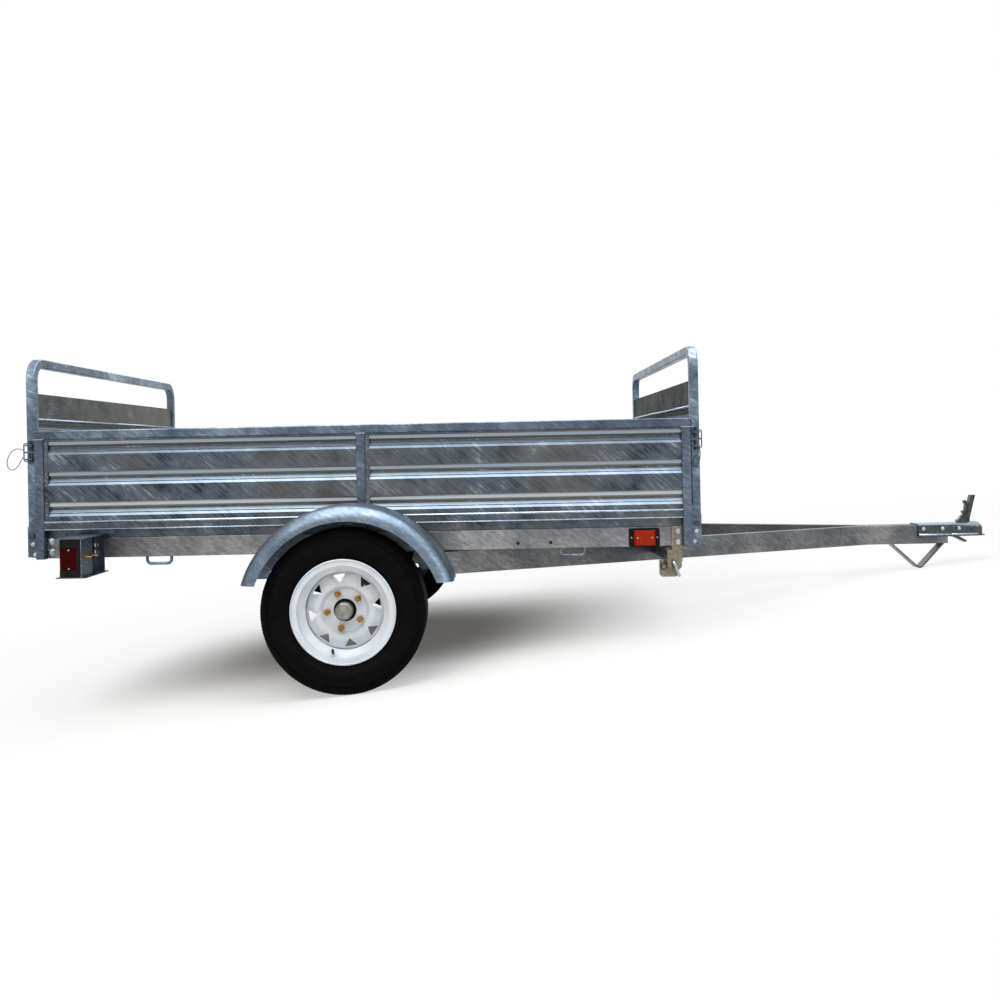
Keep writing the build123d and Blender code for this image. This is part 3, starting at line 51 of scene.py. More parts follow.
# The level trailer in the row frame, from the two gate hinges, which lie at one height, and a wheel's axis.
rear_hinge = Vector(joints["rear_gate_fold"]["pos_m"])
front_hinge = Vector(joints["front_gate_fold"]["pos_m"])
wheel_axis = Vector(joints["right_wheel_spin"]["pos_m"])
pitch = math.atan2(rear_hinge.z - front_hinge.z, front_hinge.x - rear_hinge.x)
turn = Matrix.Rotation(pitch, 4, "Y")
level = Matrix.Translation(wheel_axis - turn @ Vector((0, -WHEEL_Y * MM, WHEEL_RADIUS * MM))) @ turn


def mm(*point):
    """A point given in millimetres, in metres."""
    return Vector(point) * MM


def at(*point):
    """A point of the level trailer, in millimetres, as a point of the row frame."""
    return level @ mm(*point)


# Camera: level with the trailer but for a small roll, about as high as the gates' catches, ahead of the axle.
CAMERA_PLACE = (511.0, -4307.0, 781.0)
CAMERA_ROLL = 1.17
CAMERA_LENS = 37.9
CAMERA_SENSOR = 36.0
CAMERA_SHIFT = -0.053


def make_camera():
    data = bpy.data.cameras.new("camera")
    data.sensor_width = CAMERA_SENSOR
    data.lens = CAMERA_LENS
    data.shift_y = CAMERA_SHIFT
    data.dof.use_dof = False
    camera = bpy.data.objects.new("camera", data)
    bpy.context.collection.objects.link(camera)
    upright = Matrix.Rotation(math.radians(90), 4, "X")
    roll = Matrix.Rotation(math.radians(-CAMERA_ROLL), 4, "Z")
    camera.matrix_world = level @ Matrix.Translation(mm(*CAMERA_PLACE)) @ upright @ roll
    bpy.context.scene.camera = camera


# Node helpers.
def linear(colour):
    """An sRGB hex colour as linear red, green, blue and alpha."""
    channels = [int(colour[place:place + 2], 16) / 255 for place in (1, 3, 5)]
    return [c / 12.92 if c <= 0.04045 else ((c + 0.055) / 1.055) ** 2.4 for c in channels] + [1.0]


def feed(tree, node, inputs):
    """Sets each input of a node to a value, or links it to another node's output."""
    for name, value in inputs.items():
        if isinstance(value, bpy.types.NodeSocket):
            tree.links.new(value, node.inputs[name])
        else:
            node.inputs[name].default_value = value


def add(tree, kind, inputs=None, stops=(), **settings):
    """One node: its settings, its inputs and, on a colour ramp, its stops of place and hex colour."""
    node = tree.nodes.new("ShaderNode" + kind)
    for name, value in settings.items():
        setattr(node, name, value)
    feed(tree, node, inputs or {})
    for _ in stops[2:]:
        node.color_ramp.elements.new(0.5)
    for number, (place, colour) in enumerate(stops):
        node.color_ramp.elements[number].position = place
        node.color_ramp.elements[number].color = linear(colour)
    return node


def per_metre(size):
    """Scale of a pattern whose features are the given millimetres across."""
    return 1000.0 / size


def start_material(name):
    """A new material: its node tree, its main shader and the object's coordinates."""
    material = bpy.data.materials.new(name)
    material.use_nodes = True
    tree = material.node_tree
    shader = tree.nodes["Principled BSDF"]
    where = add(tree, "TexCoord").outputs["Object"]
    return material, tree, shader, where


# Places on the trailer that finishes follow. Distances from the middle plane: the back of the wheel's disc,
# the foot of the hub's cap, half the width of such a change of finish, and the shelf of a wall's ribs.
# Heights: the top edge of a rib, the ribs' pitch, the drop at which the upper shelf ends, and the span over
# which the painted shade under a wall's top rail fades out.
DISC_BACK = 890.5
HUB_FACE = 908.0
EDGE_BLEND = 1.5
RIB_SHELF = (777.0, 783.5)
RIB_TOP_EDGE = 626.0
RIB_PITCH = 103.0
RIB_SHELF_END = 20.0
RAIL_SHADE_HEIGHTS = (806.0, 579.0)


def beyond(tree, where, distance):
    """0 nearer the trailer's middle plane than the distance in millimetres, and 1 farther out."""
    offset = add(tree, "SeparateXYZ", {"Vector": where}).outputs["Y"]
    offset = add(tree, "Math", {0: offset}, operation="ABSOLUTE").outputs[0]
    return add(tree, "MapRange", {"Value": offset, "From Min": (distance - EDGE_BLEND) * MM,
                                  "From Max": (distance + EDGE_BLEND) * MM}).outputs[0]


def level_height(tree, where):
    """Height of a point above the road on the level trailer, in metres."""
    upwards = turn @ Vector((0, 0, 1))
    height = add(tree, "VectorMath", {0: where, 1: upwards}, operation="DOT_PRODUCT").outputs["Value"]
    return add(tree, "Math", {0: height, 1: at(0, 0, 0).dot(upwards)}, operation="SUBTRACT").outputs[0]


def on_rib_shelf(tree, where, height):
    """1 on the upper shelf of a wall's ribs, and 0 elsewhere."""
    inner = beyond(tree, where, RIB_SHELF[0])
    outer = beyond(tree, where, RIB_SHELF[1])
    between = add(tree, "Math", {0: inner, 1: outer}, operation="SUBTRACT").outputs[0]
    drop = add(tree, "Math", {0: RIB_TOP_EDGE * MM, 1: height}, operation="SUBTRACT").outputs[0]
    drop = add(tree, "Math", {0: drop, 1: RIB_PITCH * MM}, operation="FLOORED_MODULO").outputs[0]
    upper = add(tree, "Math", {0: drop, 1: RIB_SHELF_END * MM}, operation="LESS_THAN").outputs[0]
    return add(tree, "Math", {0: between, 1: upper}, operation="MULTIPLY").outputs[0]


def facing_up(tree):
    """-1 to 1: how far a surface faces down or up, in the object's own directions."""
    normal = add(tree, "TexCoord").outputs["Normal"]
    return add(tree, "SeparateXYZ", {"Vector": normal}).outputs["Z"]


def background_rays(tree):
    """1 for the rays that show the background: from the camera, off metal and through glass."""
    paths = add(tree, "LightPath").outputs
    seen = add(tree, "Math", {0: paths["Is Camera Ray"], 1: paths["Is Glossy Ray"]}, operation="MAXIMUM")
    seen = add(tree, "Math", {0: seen.outputs[0], 1: paths["Is Transmission Ray"]}, operation="MAXIMUM")
    return seen.outputs[0]


# Zinc: size and slant of the streaks on sheet and of the runs on tube, the depth of both, and how metallic
# the coat is.
STREAK_SIZE = (70.0, 40.0, 5.0)
STREAK_TURN = 47.0
RUN_SIZE = (36.0, 18.0, 10.0)
RUN_TURN = 35.0
ZINC_RELIEF = 1.5
ZINC_METALLIC = 0.92

# Painted light on the bends of a sheet: a painted highlight on slopes that face up and a warm painted reflection
# of the ground on slopes that face down. On the walls both are given from the top rib to the lowest, darker at the
# top as painted shade under the top rail, and so are the painted highlights of the ribs' shelves.
UPWARD_PAINTED_HIGHLIGHT = "#7c8996"
DOWNWARD_PAINTED_REFLECTION = "#b5ab99"
WALL_UPWARD_HIGHLIGHT_AND_SHADE = ((0.05, "#59636c"), (0.45, "#7c8996"), (0.95, "#7e8b97"))
WALL_DOWNWARD_REFLECTION_AND_SHADE = ((0.05, "#a0988a"), (0.45, "#b5ab99"), (0.95, "#c6bdac"))
WALL_SHELF_HIGHLIGHT_AND_SHADE = ((0.05, "#8d9aa6"), (0.45, "#8f9ca8"), (0.95, "#b9c0c2"))
WARM_GREY = "#656462"


def galvanised_sheet(name, dark, mid, pale, wall=False, glance="#ffffff"):
    """Hot-dip zinc on rolled sheet: crisp slanting streaks, a cloudy mottle and a fine spangle on the flats,
    which drift from blue to a plainer warm grey, a painted highlight on bends that face up and a warm painted
    reflection of the ground on bends that face down. A wall has painted highlights on its rib shelves, and its
    bends grow brighter towards its foot, with painted shade under its top rail. The last colour tints what a sheet
    mirrors when it is seen at a low angle."""
    material, tree, shader, where = start_material(name)
    along = add(tree, "Mapping", {"Vector": where, "Rotation": (0, math.radians(STREAK_TURN), 0),
                                  "Scale": mm(*STREAK_SIZE)}, vector_type="TEXTURE").outputs[0]
    streaks = add(tree, "TexNoise", {"Vector": along, "Scale": 1.0, "Detail": 6.0, "Roughness": 0.66})
    clouds = add(tree, "TexNoise", {"Vector": where, "Scale": per_metre(85), "Detail": 6.0})
    mask = add(tree, "Math", {0: streaks.outputs["Fac"], 1: clouds.outputs["Fac"]}, operation="ADD")
    mask = add(tree, "MapRange", {"Value": mask.outputs[0], "From Min": 0.72, "From Max": 1.34}).outputs[0]
    colour = add(tree, "ValToRGB", {"Fac": mask},
                 stops=((0.08, dark), (0.45, mid), (0.62, mid), (0.98, pale))).outputs["Color"]
    spangle = add(tree, "TexVoronoi", {"Vector": where, "Scale": per_metre(9)}).outputs["Color"]
    grain = add(tree, "RGBToBW", {"Color": spangle}).outputs[0]
    speckle = add(tree, "MapRange", {"Value": grain, "To Min": 0.86, "To Max": 1.12}).outputs[0]
    colour = add(tree, "VectorMath", {0: colour, "Scale": speckle}, operation="SCALE").outputs[0]
    drift = add(tree, "TexNoise", {"Vector": where, "Scale": per_metre(420), "Detail": 1.0}).outputs["Fac"]
    drift = add(tree, "MapRange", {"Value": drift, "From Min": 0.45, "From Max": 0.65, "To Max": 0.5})
    colour = add(tree, "MixRGB", {"Fac": drift.outputs[0], "Color1": colour,
                                  "Color2": linear(WARM_GREY)}).outputs["Color"]
    upward_highlight, downward_reflection = linear(UPWARD_PAINTED_HIGHLIGHT), linear(DOWNWARD_PAINTED_REFLECTION)
    if wall:
        height = level_height(tree, where)
        # Painted shade under the top rail: 0 at the top rib, where the wall's bend colours are darkest, to 1 at
        # the lowest rib.
        rail_shade_fade = add(tree, "MapRange", {"Value": height, "From Min": RAIL_SHADE_HEIGHTS[0] * MM,
                                         "From Max": RAIL_SHADE_HEIGHTS[1] * MM}).outputs[0]
        upward_highlight, downward_reflection, shelf_highlight = [
            add(tree, "ValToRGB", {"Fac": rail_shade_fade}, stops=coat).outputs["Color"]
            for coat in (WALL_UPWARD_HIGHLIGHT_AND_SHADE, WALL_DOWNWARD_REFLECTION_AND_SHADE, WALL_SHELF_HIGHLIGHT_AND_SHADE)]
        # The upper shelf of each rib takes a paler colour, a painted highlight, dimmed towards the top by the
        # painted shade under the rail.
        shelf = on_rib_shelf(tree, where, height)
        colour = add(tree, "MixRGB", {"Fac": shelf, "Color1": colour, "Color2": shelf_highlight}).outputs["Color"]
    # Bends that face up get a painted highlight of the sky, and bends that face down a warm painted reflection of
    # the ground.
    slope = facing_up(tree)
    upper = add(tree, "MapRange", {"Value": slope, "From Min": 0.30, "From Max": 0.50, "To Max": 0.8})
    colour = add(tree, "MixRGB", {"Fac": upper.outputs[0], "Color1": colour,
                                  "Color2": upward_highlight}).outputs["Color"]
    lower = add(tree, "MapRange", {"Value": slope, "From Min": -0.30, "From Max": -0.60, "To Max": 0.9})
    colour = add(tree, "MixRGB", {"Fac": lower.outputs[0], "Color1": colour, "Color2": downward_reflection})
    gloss = add(tree, "MapRange", {"Value": mask, "To Min": 0.46, "To Max": 0.30}).outputs[0]
    bump = add(tree, "Bump", {"Height": streaks.outputs["Fac"], "Strength": 0.10,
                              "Distance": ZINC_RELIEF * MM})
    feed(tree, shader, {"Base Color": colour.outputs["Color"], "Roughness": gloss, "Metallic": ZINC_METALLIC,
                        "Specular Tint": linear(glance), "Normal": bump.outputs[0]})
    return material


def galvanised_tube(name, dark, mid, pale):
    """Hot-dip zinc on tube and plate: a fine dark and bright mottle with small runs, under a fine spangle."""
    material, tree, shader, where = start_material(name)
    along = add(tree, "Mapping", {"Vector": where, "Rotation": (0, math.radians(RUN_TURN), 0),
                                  "Scale": mm(*RUN_SIZE)}, vector_type="TEXTURE").outputs[0]
    runs = add(tree, "TexNoise", {"Vector": along, "Scale": 1.0, "Detail": 6.0, "Roughness": 0.7})
    clouds = add(tree, "TexNoise", {"Vector": where, "Scale": per_metre(160), "Detail": 3.0})
    mask = add(tree, "Math", {0: runs.outputs["Fac"], 1: clouds.outputs["Fac"]}, operation="ADD")
    mask = add(tree, "MapRange", {"Value": mask.outputs[0], "From Min": 0.70, "From Max": 1.32}).outputs[0]
    colour = add(tree, "ValToRGB", {"Fac": mask},
                 stops=((0.0, dark), (0.5, mid), (1.0, pale))).outputs["Color"]
    spangle = add(tree, "TexVoronoi", {"Vector": where, "Scale": per_metre(7)}).outputs["Color"]
    grain = add(tree, "RGBToBW", {"Color": spangle}).outputs[0]
    speckle = add(tree, "MapRange", {"Value": grain, "To Min": 0.86, "To Max": 1.10}).outputs[0]
    colour = add(tree, "VectorMath", {0: colour, "Scale": speckle}, operation="SCALE").outputs[0]
    gloss = add(tree, "MapRange", {"Value": mask, "To Min": 0.44, "To Max": 0.30}).outputs[0]
    bump = add(tree, "Bump", {"Height": runs.outputs["Fac"], "Strength": 0.10, "Distance": ZINC_RELIEF * MM})
    feed(tree, shader, {"Base Color": colour, "Roughness": gloss, "Metallic": ZINC_METALLIC,
                        "Normal": bump.outputs[0]})
    return material


def wheel_enamel(name, dark, pale, barrel_shade):
    """White wheel enamel with a soft gloss and a faint orange peel; behind the disc a dull dark colour, painted
    shade inside the wheel.
    """
    material, tree, shader, where = start_material(name)
    shift = add(tree, "TexNoise", {"Vector": where, "Scale": per_metre(60), "Detail": 3.0}).outputs["Fac"]
    white = add(tree, "ValToRGB", {"Fac": shift}, stops=((0.3, dark), (0.7, pale))).outputs["Color"]
    # Nearer the middle plane than the back of the disc the colour turns near-black: painted shade inside the
    # wheel.
    outer = beyond(tree, where, DISC_BACK)
    colour = add(tree, "MixRGB", {"Fac": outer, "Color1": linear(barrel_shade), "Color2": white}).outputs["Color"]
    gloss = add(tree, "MapRange", {"Value": outer, "To Min": 0.8, "To Max": 0.34}).outputs[0]
    peel = add(tree, "TexNoise", {"Vector": where, "Scale": per_metre(4), "Detail": 2.0}).outputs["Fac"]
    bump = add(tree, "Bump", {"Height": peel, "Strength": 0.12, "Distance": 0.4 * MM}).outputs[0]
    feed(tree, shader, {"Base Color": colour, "Roughness": gloss, "Normal": bump})
    return material


def hub_metal(name, dark, pale, bore_shade):
    """Pressed hub: a dull grey cap with faint clouds, and round its foot a dark painted shade in the bore."""
    material, tree, shader, where = start_material(name)
    clouds = add(tree, "TexNoise", {"Vector": where, "Scale": per_metre(14), "Detail": 5.0}).outputs["Fac"]
    cap = add(tree, "ValToRGB", {"Fac": clouds}, stops=((0.3, dark), (0.7, pale))).outputs["Color"]
    # Nearer the middle plane than the cap's foot the hub turns near-black: painted shade in the bore behind the
    # disc.
    outer = beyond(tree, where, HUB_FACE)
    colour = add(tree, "MixRGB", {"Fac": outer, "Color1": linear(bore_shade), "Color2": cap}).outputs["Color"]
    feed(tree, shader, {"Base Color": colour, "Metallic": 0.85, "Roughness": 0.4})
    return material


def plated_steel(name, dark, pale, roughness, upper=None):
    """Electroplated zinc: an even bright skin with faint clouds, and a painted highlight on faces that face up."""
    material, tree, shader, where = start_material(name)
    clouds = add(tree, "TexNoise", {"Vector": where, "Scale": per_metre(14), "Detail": 5.0}).outputs["Fac"]
    skin = add(tree, "ValToRGB", {"Fac": clouds}, stops=((0.3, dark), (0.7, pale))).outputs["Color"]
    # Faces that face up turn to the upward colour, or else to the pale one: a painted highlight.
    upward_sheen = add(tree, "MapRange", {"Value": facing_up(tree), "From Min": 0.25, "From Max": 0.6}).outputs[0]
    colour = add(tree, "MixRGB", {"Fac": upward_sheen, "Color1": skin,
                                  "Color2": linear(upper or pale)}).outputs["Color"]
    gloss = add(tree, "MapRange", {"Value": clouds, "To Min": roughness - 0.06, "To Max": roughness + 0.12})
    feed(tree, shader, {"Base Color": colour, "Roughness": gloss.outputs[0], "Metallic": 1.0})
    return material


def painted(name, dark, pale, roughness, grain_size):
    """Paint, rubber or moulded plastic: one deep dull colour that shifts a little, under a fine grain."""
    material, tree, shader, where = start_material(name)
    shift = add(tree, "TexNoise", {"Vector": where, "Scale": per_metre(60), "Detail": 3.0}).outputs["Fac"]
    colour = add(tree, "ValToRGB", {"Fac": shift}, stops=((0.3, dark), (0.7, pale))).outputs["Color"]
    grain = add(tree, "TexNoise", {"Vector": where, "Scale": per_metre(grain_size), "Detail": 2.0})
    grain = grain.outputs["Fac"]
    gloss = add(tree, "MapRange", {"Value": grain, "To Min": roughness - 0.06, "To Max": roughness + 0.08})
    bump = add(tree, "Bump", {"Height": grain, "Strength": 0.15, "Distance": 0.4 * MM}).outputs[0]
    feed(tree, shader, {"Base Color": colour, "Roughness": gloss.outputs[0], "Normal": bump,
                        "Specular IOR Level": 0.15})
    return material


def lamp_lens(name, dark, pale, prism, shine):
    """Moulded acrylic lens: rows of small prisms, deep colour between them, under a smooth outer skin."""
    material, tree, shader, where = start_material(name)
    rows = add(tree, "TexVoronoi", {"Vector": where, "Scale": per_metre(prism), "Randomness": 0.0},
               distance="CHEBYCHEV").outputs["Distance"]
    colour = add(tree, "ValToRGB", {"Fac": rows}, stops=((0.1, pale), (0.5, dark))).outputs["Color"]
    bump = add(tree, "Bump", {"Height": rows, "Strength": 0.4, "Distance": 1.0 * MM}).outputs[0]
    feed(tree, shader, {"Base Color": colour, "Normal": bump, "Roughness": 0.22, "Specular IOR Level": shine})
    return material


def tyre_rubber(name):
    """Black tyre rubber: dull and deep, a little paler with dust, with a fine moulded grain."""
    material, tree, shader, where = start_material(name)
    dust = add(tree, "TexNoise", {"Vector": where, "Scale": per_metre(40), "Detail": 6.0}).outputs["Fac"]
    colour = add(tree, "ValToRGB", {"Fac": dust},
                 stops=((0.35, "#030304"), (0.75, "#0b0b0d"))).outputs["Color"]
    gloss = add(tree, "MapRange", {"Value": dust, "To Min": 0.56, "To Max": 0.72}).outputs[0]
    grain = add(tree, "TexNoise", {"Vector": where, "Scale": per_metre(2.5), "Detail": 3.0}).outputs["Fac"]
    bump = add(tree, "Bump", {"Height": grain, "Strength": 0.2, "Distance": 0.6 * MM}).outputs[0]
    feed(tree, shader, {"Base Color": colour, "Roughness": gloss, "Normal": bump,
                        "Specular IOR Level": 0.055})
    return material


def wire_rope(name):
    """Laid steel wire: slanting lines, with painted shade between the strands, drawn coarser than the real lay so
    that they show."""
    material, tree, shader, where = start_material(name)
    strands = add(tree, "TexWave", {"Vector": where, "Scale": per_metre(6), "Distortion": 1.0},
                  bands_direction="DIAGONAL").outputs["Fac"]
    # The dark stops are painted shade in the grooves between the strands.
    colour = add(tree, "ValToRGB", {"Fac": strands},
                 stops=((0.2, "#131415"), (0.8, "#3d3f41"))).outputs["Color"]
    feed(tree, shader, {"Base Color": colour, "Metallic": 0.9, "Roughness": 0.42})
    return material


# One finish for each slot of the record.
FINISHES = {
    "galvanised_steel": galvanised_tube("galvanised_tube", "#3b4550", "#5a6673", "#8793a0"),
    "galvanised_sheet": galvanised_sheet("galvanised_sheet", "#353b41", "#555c63", "#8b949b"),
    "bright_zinc": plated_steel("bright_zinc_plate", "#8b9399", "#c6cbce", 0.28),
    "yellow_zinc": plated_steel("yellow_zinc_plate", "#6c6759", "#918b7b", 0.40),
    "wire_rope": wire_rope("laid_wire_rope"),
    "spring_steel": painted("black_spring_paint", "#111111", "#1e1e1f", 0.45, 3.0),
    "black_plastic": painted("black_moulded_plastic", "#070708", "#0e0e0f", 0.5, 1.5),
    "red_lens": lamp_lens("red_acrylic_lens", "#240202", "#500404", 5.0, 0.04),
    "tyre_rubber": tyre_rubber("tyre_rubber"),
    "white_enamel": wheel_enamel("white_wheel_enamel", "#c4c9ce", "#d2d6da", "#1b1c1e"),
    "hub_steel": hub_metal("pressed_hub_steel", "#77766f", "#9c9b95", "#121212"),
}

# Finishes of the nodes that differ from the rest of their slot.
wall_zinc = galvanised_sheet("galvanised_wall_sheet", "#292f35", "#535b64", "#a1aab2", wall=True)
GATE_GREYS = ("#3f4243", "#515556", "#717576")
rear_gate_zinc = galvanised_sheet("galvanised_rear_gate_sheet", *GATE_GREYS, glance="#e3e3e1")
front_gate_zinc = galvanised_sheet("galvanised_front_gate_sheet", *GATE_GREYS, glance="#9e9e9c")
# The fender's zinc is paler and bluer than the tube's: a painted reflection of the sky, over the whole fender.
fender_sky_lit_zinc = galvanised_tube("galvanised_fender", "#55626e", "#707e8b", "#9aa8b5")
arm_zinc = galvanised_tube("galvanised_drawbar", "#505357", "#67696b", "#8b8b89")
rail_zinc = galvanised_tube("galvanised_rail", "#626467", "#808183", "#a5a5a5")
# The gate hoops' zinc is paler and of higher contrast than the tube's: its bright patches are painted highlights
# of round tube.
hoop_highlight_zinc = galvanised_tube("galvanised_hoop", "#3f4a56", "#647382", "#aebdcd")
foot_zinc = galvanised_tube("galvanised_strap", "#3d4043", "#565a5d", "#82878a")
# The coupler's plate is darker than plain zinc plate, a painted dark reflection on its sides, and pale on faces
# that face up, a painted highlight.
coupler_plate = plated_steel("coupler_zinc_plate", "#394140", "#58605e", 0.24, "#9fb0bb")
lever_plate = plated_steel("dull_lever_plate", "#323635", "#525756", 0.34, "#7f8a90")
# The pins are plated dark: painted shade of the hinge pins' holes, which the catch pins share.
pin_hole_shade_plate = plated_steel("pin_plate_painted_shade", "#32363a", "#5a5f63", 0.42)
marker_red = lamp_lens("orange_red_acrylic_lens", "#6e1103", "#b32c08", 6.0, 0.12)
OWN_FINISHES = {
    "right_wall": wall_zinc, "left_wall": wall_zinc, "side_rails": rail_zinc,
    "rear_gate_hoop": hoop_highlight_zinc, "front_gate_hoop": hoop_highlight_zinc,
    "rear_gate_sheet": rear_gate_zinc, "front_gate_sheet": front_gate_zinc,
    "right_fender": fender_sky_lit_zinc, "left_fender": fender_sky_lit_zinc,
    "right_arm": arm_zinc, "left_arm": arm_zinc, "nose_tube": arm_zinc, "parking_foot": foot_zinc,
    "coupler": coupler_plate, "coupler_clamp": coupler_plate, "coupler_lever": lever_plate,
    "hinge_pins": pin_hole_shade_plate, "rear_catch_pins": pin_hole_shade_plate, "front_catch_pins": pin_hole_shade_plate,
    "marker_lenses": marker_red, "latch_plates": FINISHES["yellow_zinc"],
}

# Finishes of the pieces that are made here.
brass_plate = plated_steel("brass_coloured_plate", "#6b4d22", "#a9834a", 0.24)
stem_rubber = painted("valve_stem_rubber", "#121212", "#1d1d1d", 0.5, 2.0)
# Rolled edges are paler than the zinc round them: a painted highlight along each edge.
edge_highlight_zinc = plated_steel("rolled_edge_zinc", "#7f8b96", "#b4c0ca", 0.26)
weld_metal = plated_steel("galvanised_weld", "#5d656c", "#949ca2", 0.42)
dark_wire = plated_steel("dark_wire", "#2a2c30", "#4a4d51", 0.4)


def dress_nodes():
    """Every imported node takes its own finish, or else the finish of its slot."""
    for entry in frame["record"]["subparts"]:
        node = nodes[entry["node"]]
        node.data.materials.clear()
        node.data.materials.append(OWN_FINISHES.get(entry["node"], FINISHES[entry["material_slot"]]))


# Modelling helpers.
MERGE_DISTANCE = 0.02


def select(*pieces):
    """Selects these objects alone and makes the first one active."""
    bpy.ops.object.select_all(action="DESELECT")
    for piece in pieces:
        piece.select_set(True)
    bpy.context.view_layer.objects.active = pieces[0]


def edit(piece):
    """Opens one piece alone in edit mode, with all of it selected."""
    select(piece)
    bpy.ops.object.mode_set(mode="EDIT")
    bpy.ops.mesh.select_all(action="SELECT")


def turned(name, profile, segments):
    """A turned form about Z: one ring drawn out, through a table of radius and height in millimetres."""
    bpy.ops.object.select_all(action="DESELECT")
    radius, height = profile[0]
    bpy.ops.mesh.primitive_circle_add(vertices=segments, radius=radius * MM, location=(0, 0, 0))
    piece = bpy.context.object
    piece.name = name
    edit(piece)
    bpy.ops.transform.translate(value=(0, 0, height * MM))
    for next_radius, next_height in profile[1:]:
        bpy.ops.mesh.extrude_edges_move()
        grow = next_radius / radius
        bpy.ops.transform.resize(value=(grow, grow, 1), center_override=(0, 0, height * MM))
        bpy.ops.transform.translate(value=(0, 0, (next_height - height) * MM))
        radius, height = next_radius, next_height
    bpy.ops.object.mode_set(mode="OBJECT")
    return piece


def close_form(piece, angle=35.0):
    """Merges doubles, fills open ends, turns the faces outwards and smooths bends under the angle."""
    edit(piece)
    bpy.ops.mesh.remove_doubles(threshold=MERGE_DISTANCE * MM)
    bpy.ops.mesh.select_all(action="DESELECT")
    bpy.ops.mesh.select_non_manifold()
    bpy.ops.mesh.edge_face_add()
    bpy.ops.mesh.select_all(action="SELECT")
    bpy.ops.mesh.normals_make_consistent(inside=False)
    bpy.ops.object.mode_set(mode="OBJECT")
    bpy.ops.object.shade_smooth_by_angle(angle=math.radians(angle))
    return piece


def settle(piece, body, material):
    """Puts a piece's place into its mesh and ties it to its body and its finish."""
    select(piece)
    bpy.ops.object.transform_apply(location=True, rotation=True, scale=True)
    piece.data.materials.clear()
    piece.data.materials.append(material)
    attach(piece, body)
    return piece


def twin_of(piece):
    """A copy of a piece with its own mesh."""
    twin = piece.copy()
    twin.data = piece.data.copy()
    bpy.context.collection.objects.link(twin)
    return twin


def copies(name, master, places, body, material):
    """Copies of one form, its seat at each place and its Z axis the way it faces, joined to one piece."""
    twins = []
    for place, way in places:
        twin = twin_of(master)
        facing = Vector(way).to_track_quat("Z", "Y").to_matrix().to_4x4()
        twin.matrix_world = level @ Matrix.Translation(mm(*place)) @ facing
        twins.append(twin)
    select(*twins)
    if len(twins) > 1:
        bpy.ops.object.join()
    piece = bpy.context.object
    piece.name = name
    return settle(piece, body, material)


def both(places, lift=0.0):
    """Right-hand places and their left-hand twins, lifted off their faces, each facing outwards."""
    return [((x, sign * (y + lift), z), (0, sign, 0)) for sign in SIDES.values() for x, y, z in places]


def remove(piece):
    bpy.data.objects.remove(piece, do_unlink=True)


# Tyres: radius and height of the outer half of the section, from the bead to the middle of the tread. Then
# the ribs across the shoulders: size, bevel, radius and height of their middle, and lean.
TYRE_HALF = ((166, 40), (169, 47), (172, 51), (176, 55.5), (181, 57.5), (183, 60.5), (187, 61), (190, 63.5),
             (200, 66.6), (210, 67.9), (221, 67.2), (231, 65.4), (233, 66), (236, 65.2), (238, 63.6),
             (246, 61.8), (253, 59.2), (258, 56), (262, 52.6), (264.4, 49.4), (265, 46), (265, 36),
             (259, 34.5), (259, 30.5), (265, 29), (265, 11.5), (259, 10), (259, 6), (265, 4.5))
TYRE_SEGMENTS = 120
TYRE_SMOOTH = 24.0
SHOULDER_RIB_COUNT = 160
SHOULDER_RIB = (4.4, 4.8, 26.0)
SHOULDER_RIB_BEVEL = 0.6
SHOULDER_RIB_PLACE = (251.8, 59.6)
SHOULDER_RIB_LEAN = 62.0


def make_shoulder_ribs():
    """Both rows of fine ribs: a bevelled bar and its twin on the other shoulder, spun round the tyre."""
    bpy.ops.object.select_all(action="DESELECT")
    bpy.ops.mesh.primitive_cube_add(size=1, location=(0, 0, 0))
    ribs = bpy.context.object
    edit(ribs)
    bpy.ops.transform.resize(value=tuple(size * MM for size in SHOULDER_RIB))
    bpy.ops.mesh.bevel(offset=SHOULDER_RIB_BEVEL * MM, segments=1)
    bpy.ops.object.mode_set(mode="OBJECT")
    radius, height = SHOULDER_RIB_PLACE
    twin = twin_of(ribs)
    for piece, way in ((ribs, 1), (twin, -1)):
        lean = Matrix.Rotation(math.radians(-way * SHOULDER_RIB_LEAN), 4, "Y")
        piece.matrix_world = Matrix.Translation(mm(radius, 0, way * height)) @ lean
    select(ribs, twin)
    bpy.ops.object.join()
    bpy.ops.object.transform_apply(location=True, rotation=True, scale=True)
    edit(ribs)
    steps = SHOULDER_RIB_COUNT - 1
    bpy.ops.mesh.spin(steps=steps, dupli=True, angle=2 * math.pi * steps / SHOULDER_RIB_COUNT,
                      center=(0, 0, 0), axis=(0, 0, 1))
    bpy.ops.object.mode_set(mode="OBJECT")
    return ribs


def make_tyres():
    """Bias-ply trailer tyre: ringed side walls, a ribbed tread and fine ribs across each shoulder."""
    other_half = [(radius, -height) for radius, height in reversed(TYRE_HALF)]
    profile = list(TYRE_HALF) + other_half + [TYRE_HALF[0]]
    tyre_form = close_form(turned("tyre", profile, TYRE_SEGMENTS), TYRE_SMOOTH)
    select(tyre_form, make_shoulder_ribs())
    bpy.ops.object.join()
    rubber = FINISHES["tyre_rubber"]
    for side, sign in SIDES.items():
        place = [((0, sign * WHEEL_Y, WHEEL_RADIUS), (0, sign, 0))]
        tyre = copies(side + "_road_tyre", tyre_form, place, side + "_wheel", rubber)
        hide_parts(side + "_tyre")
    remove(tyre_form)


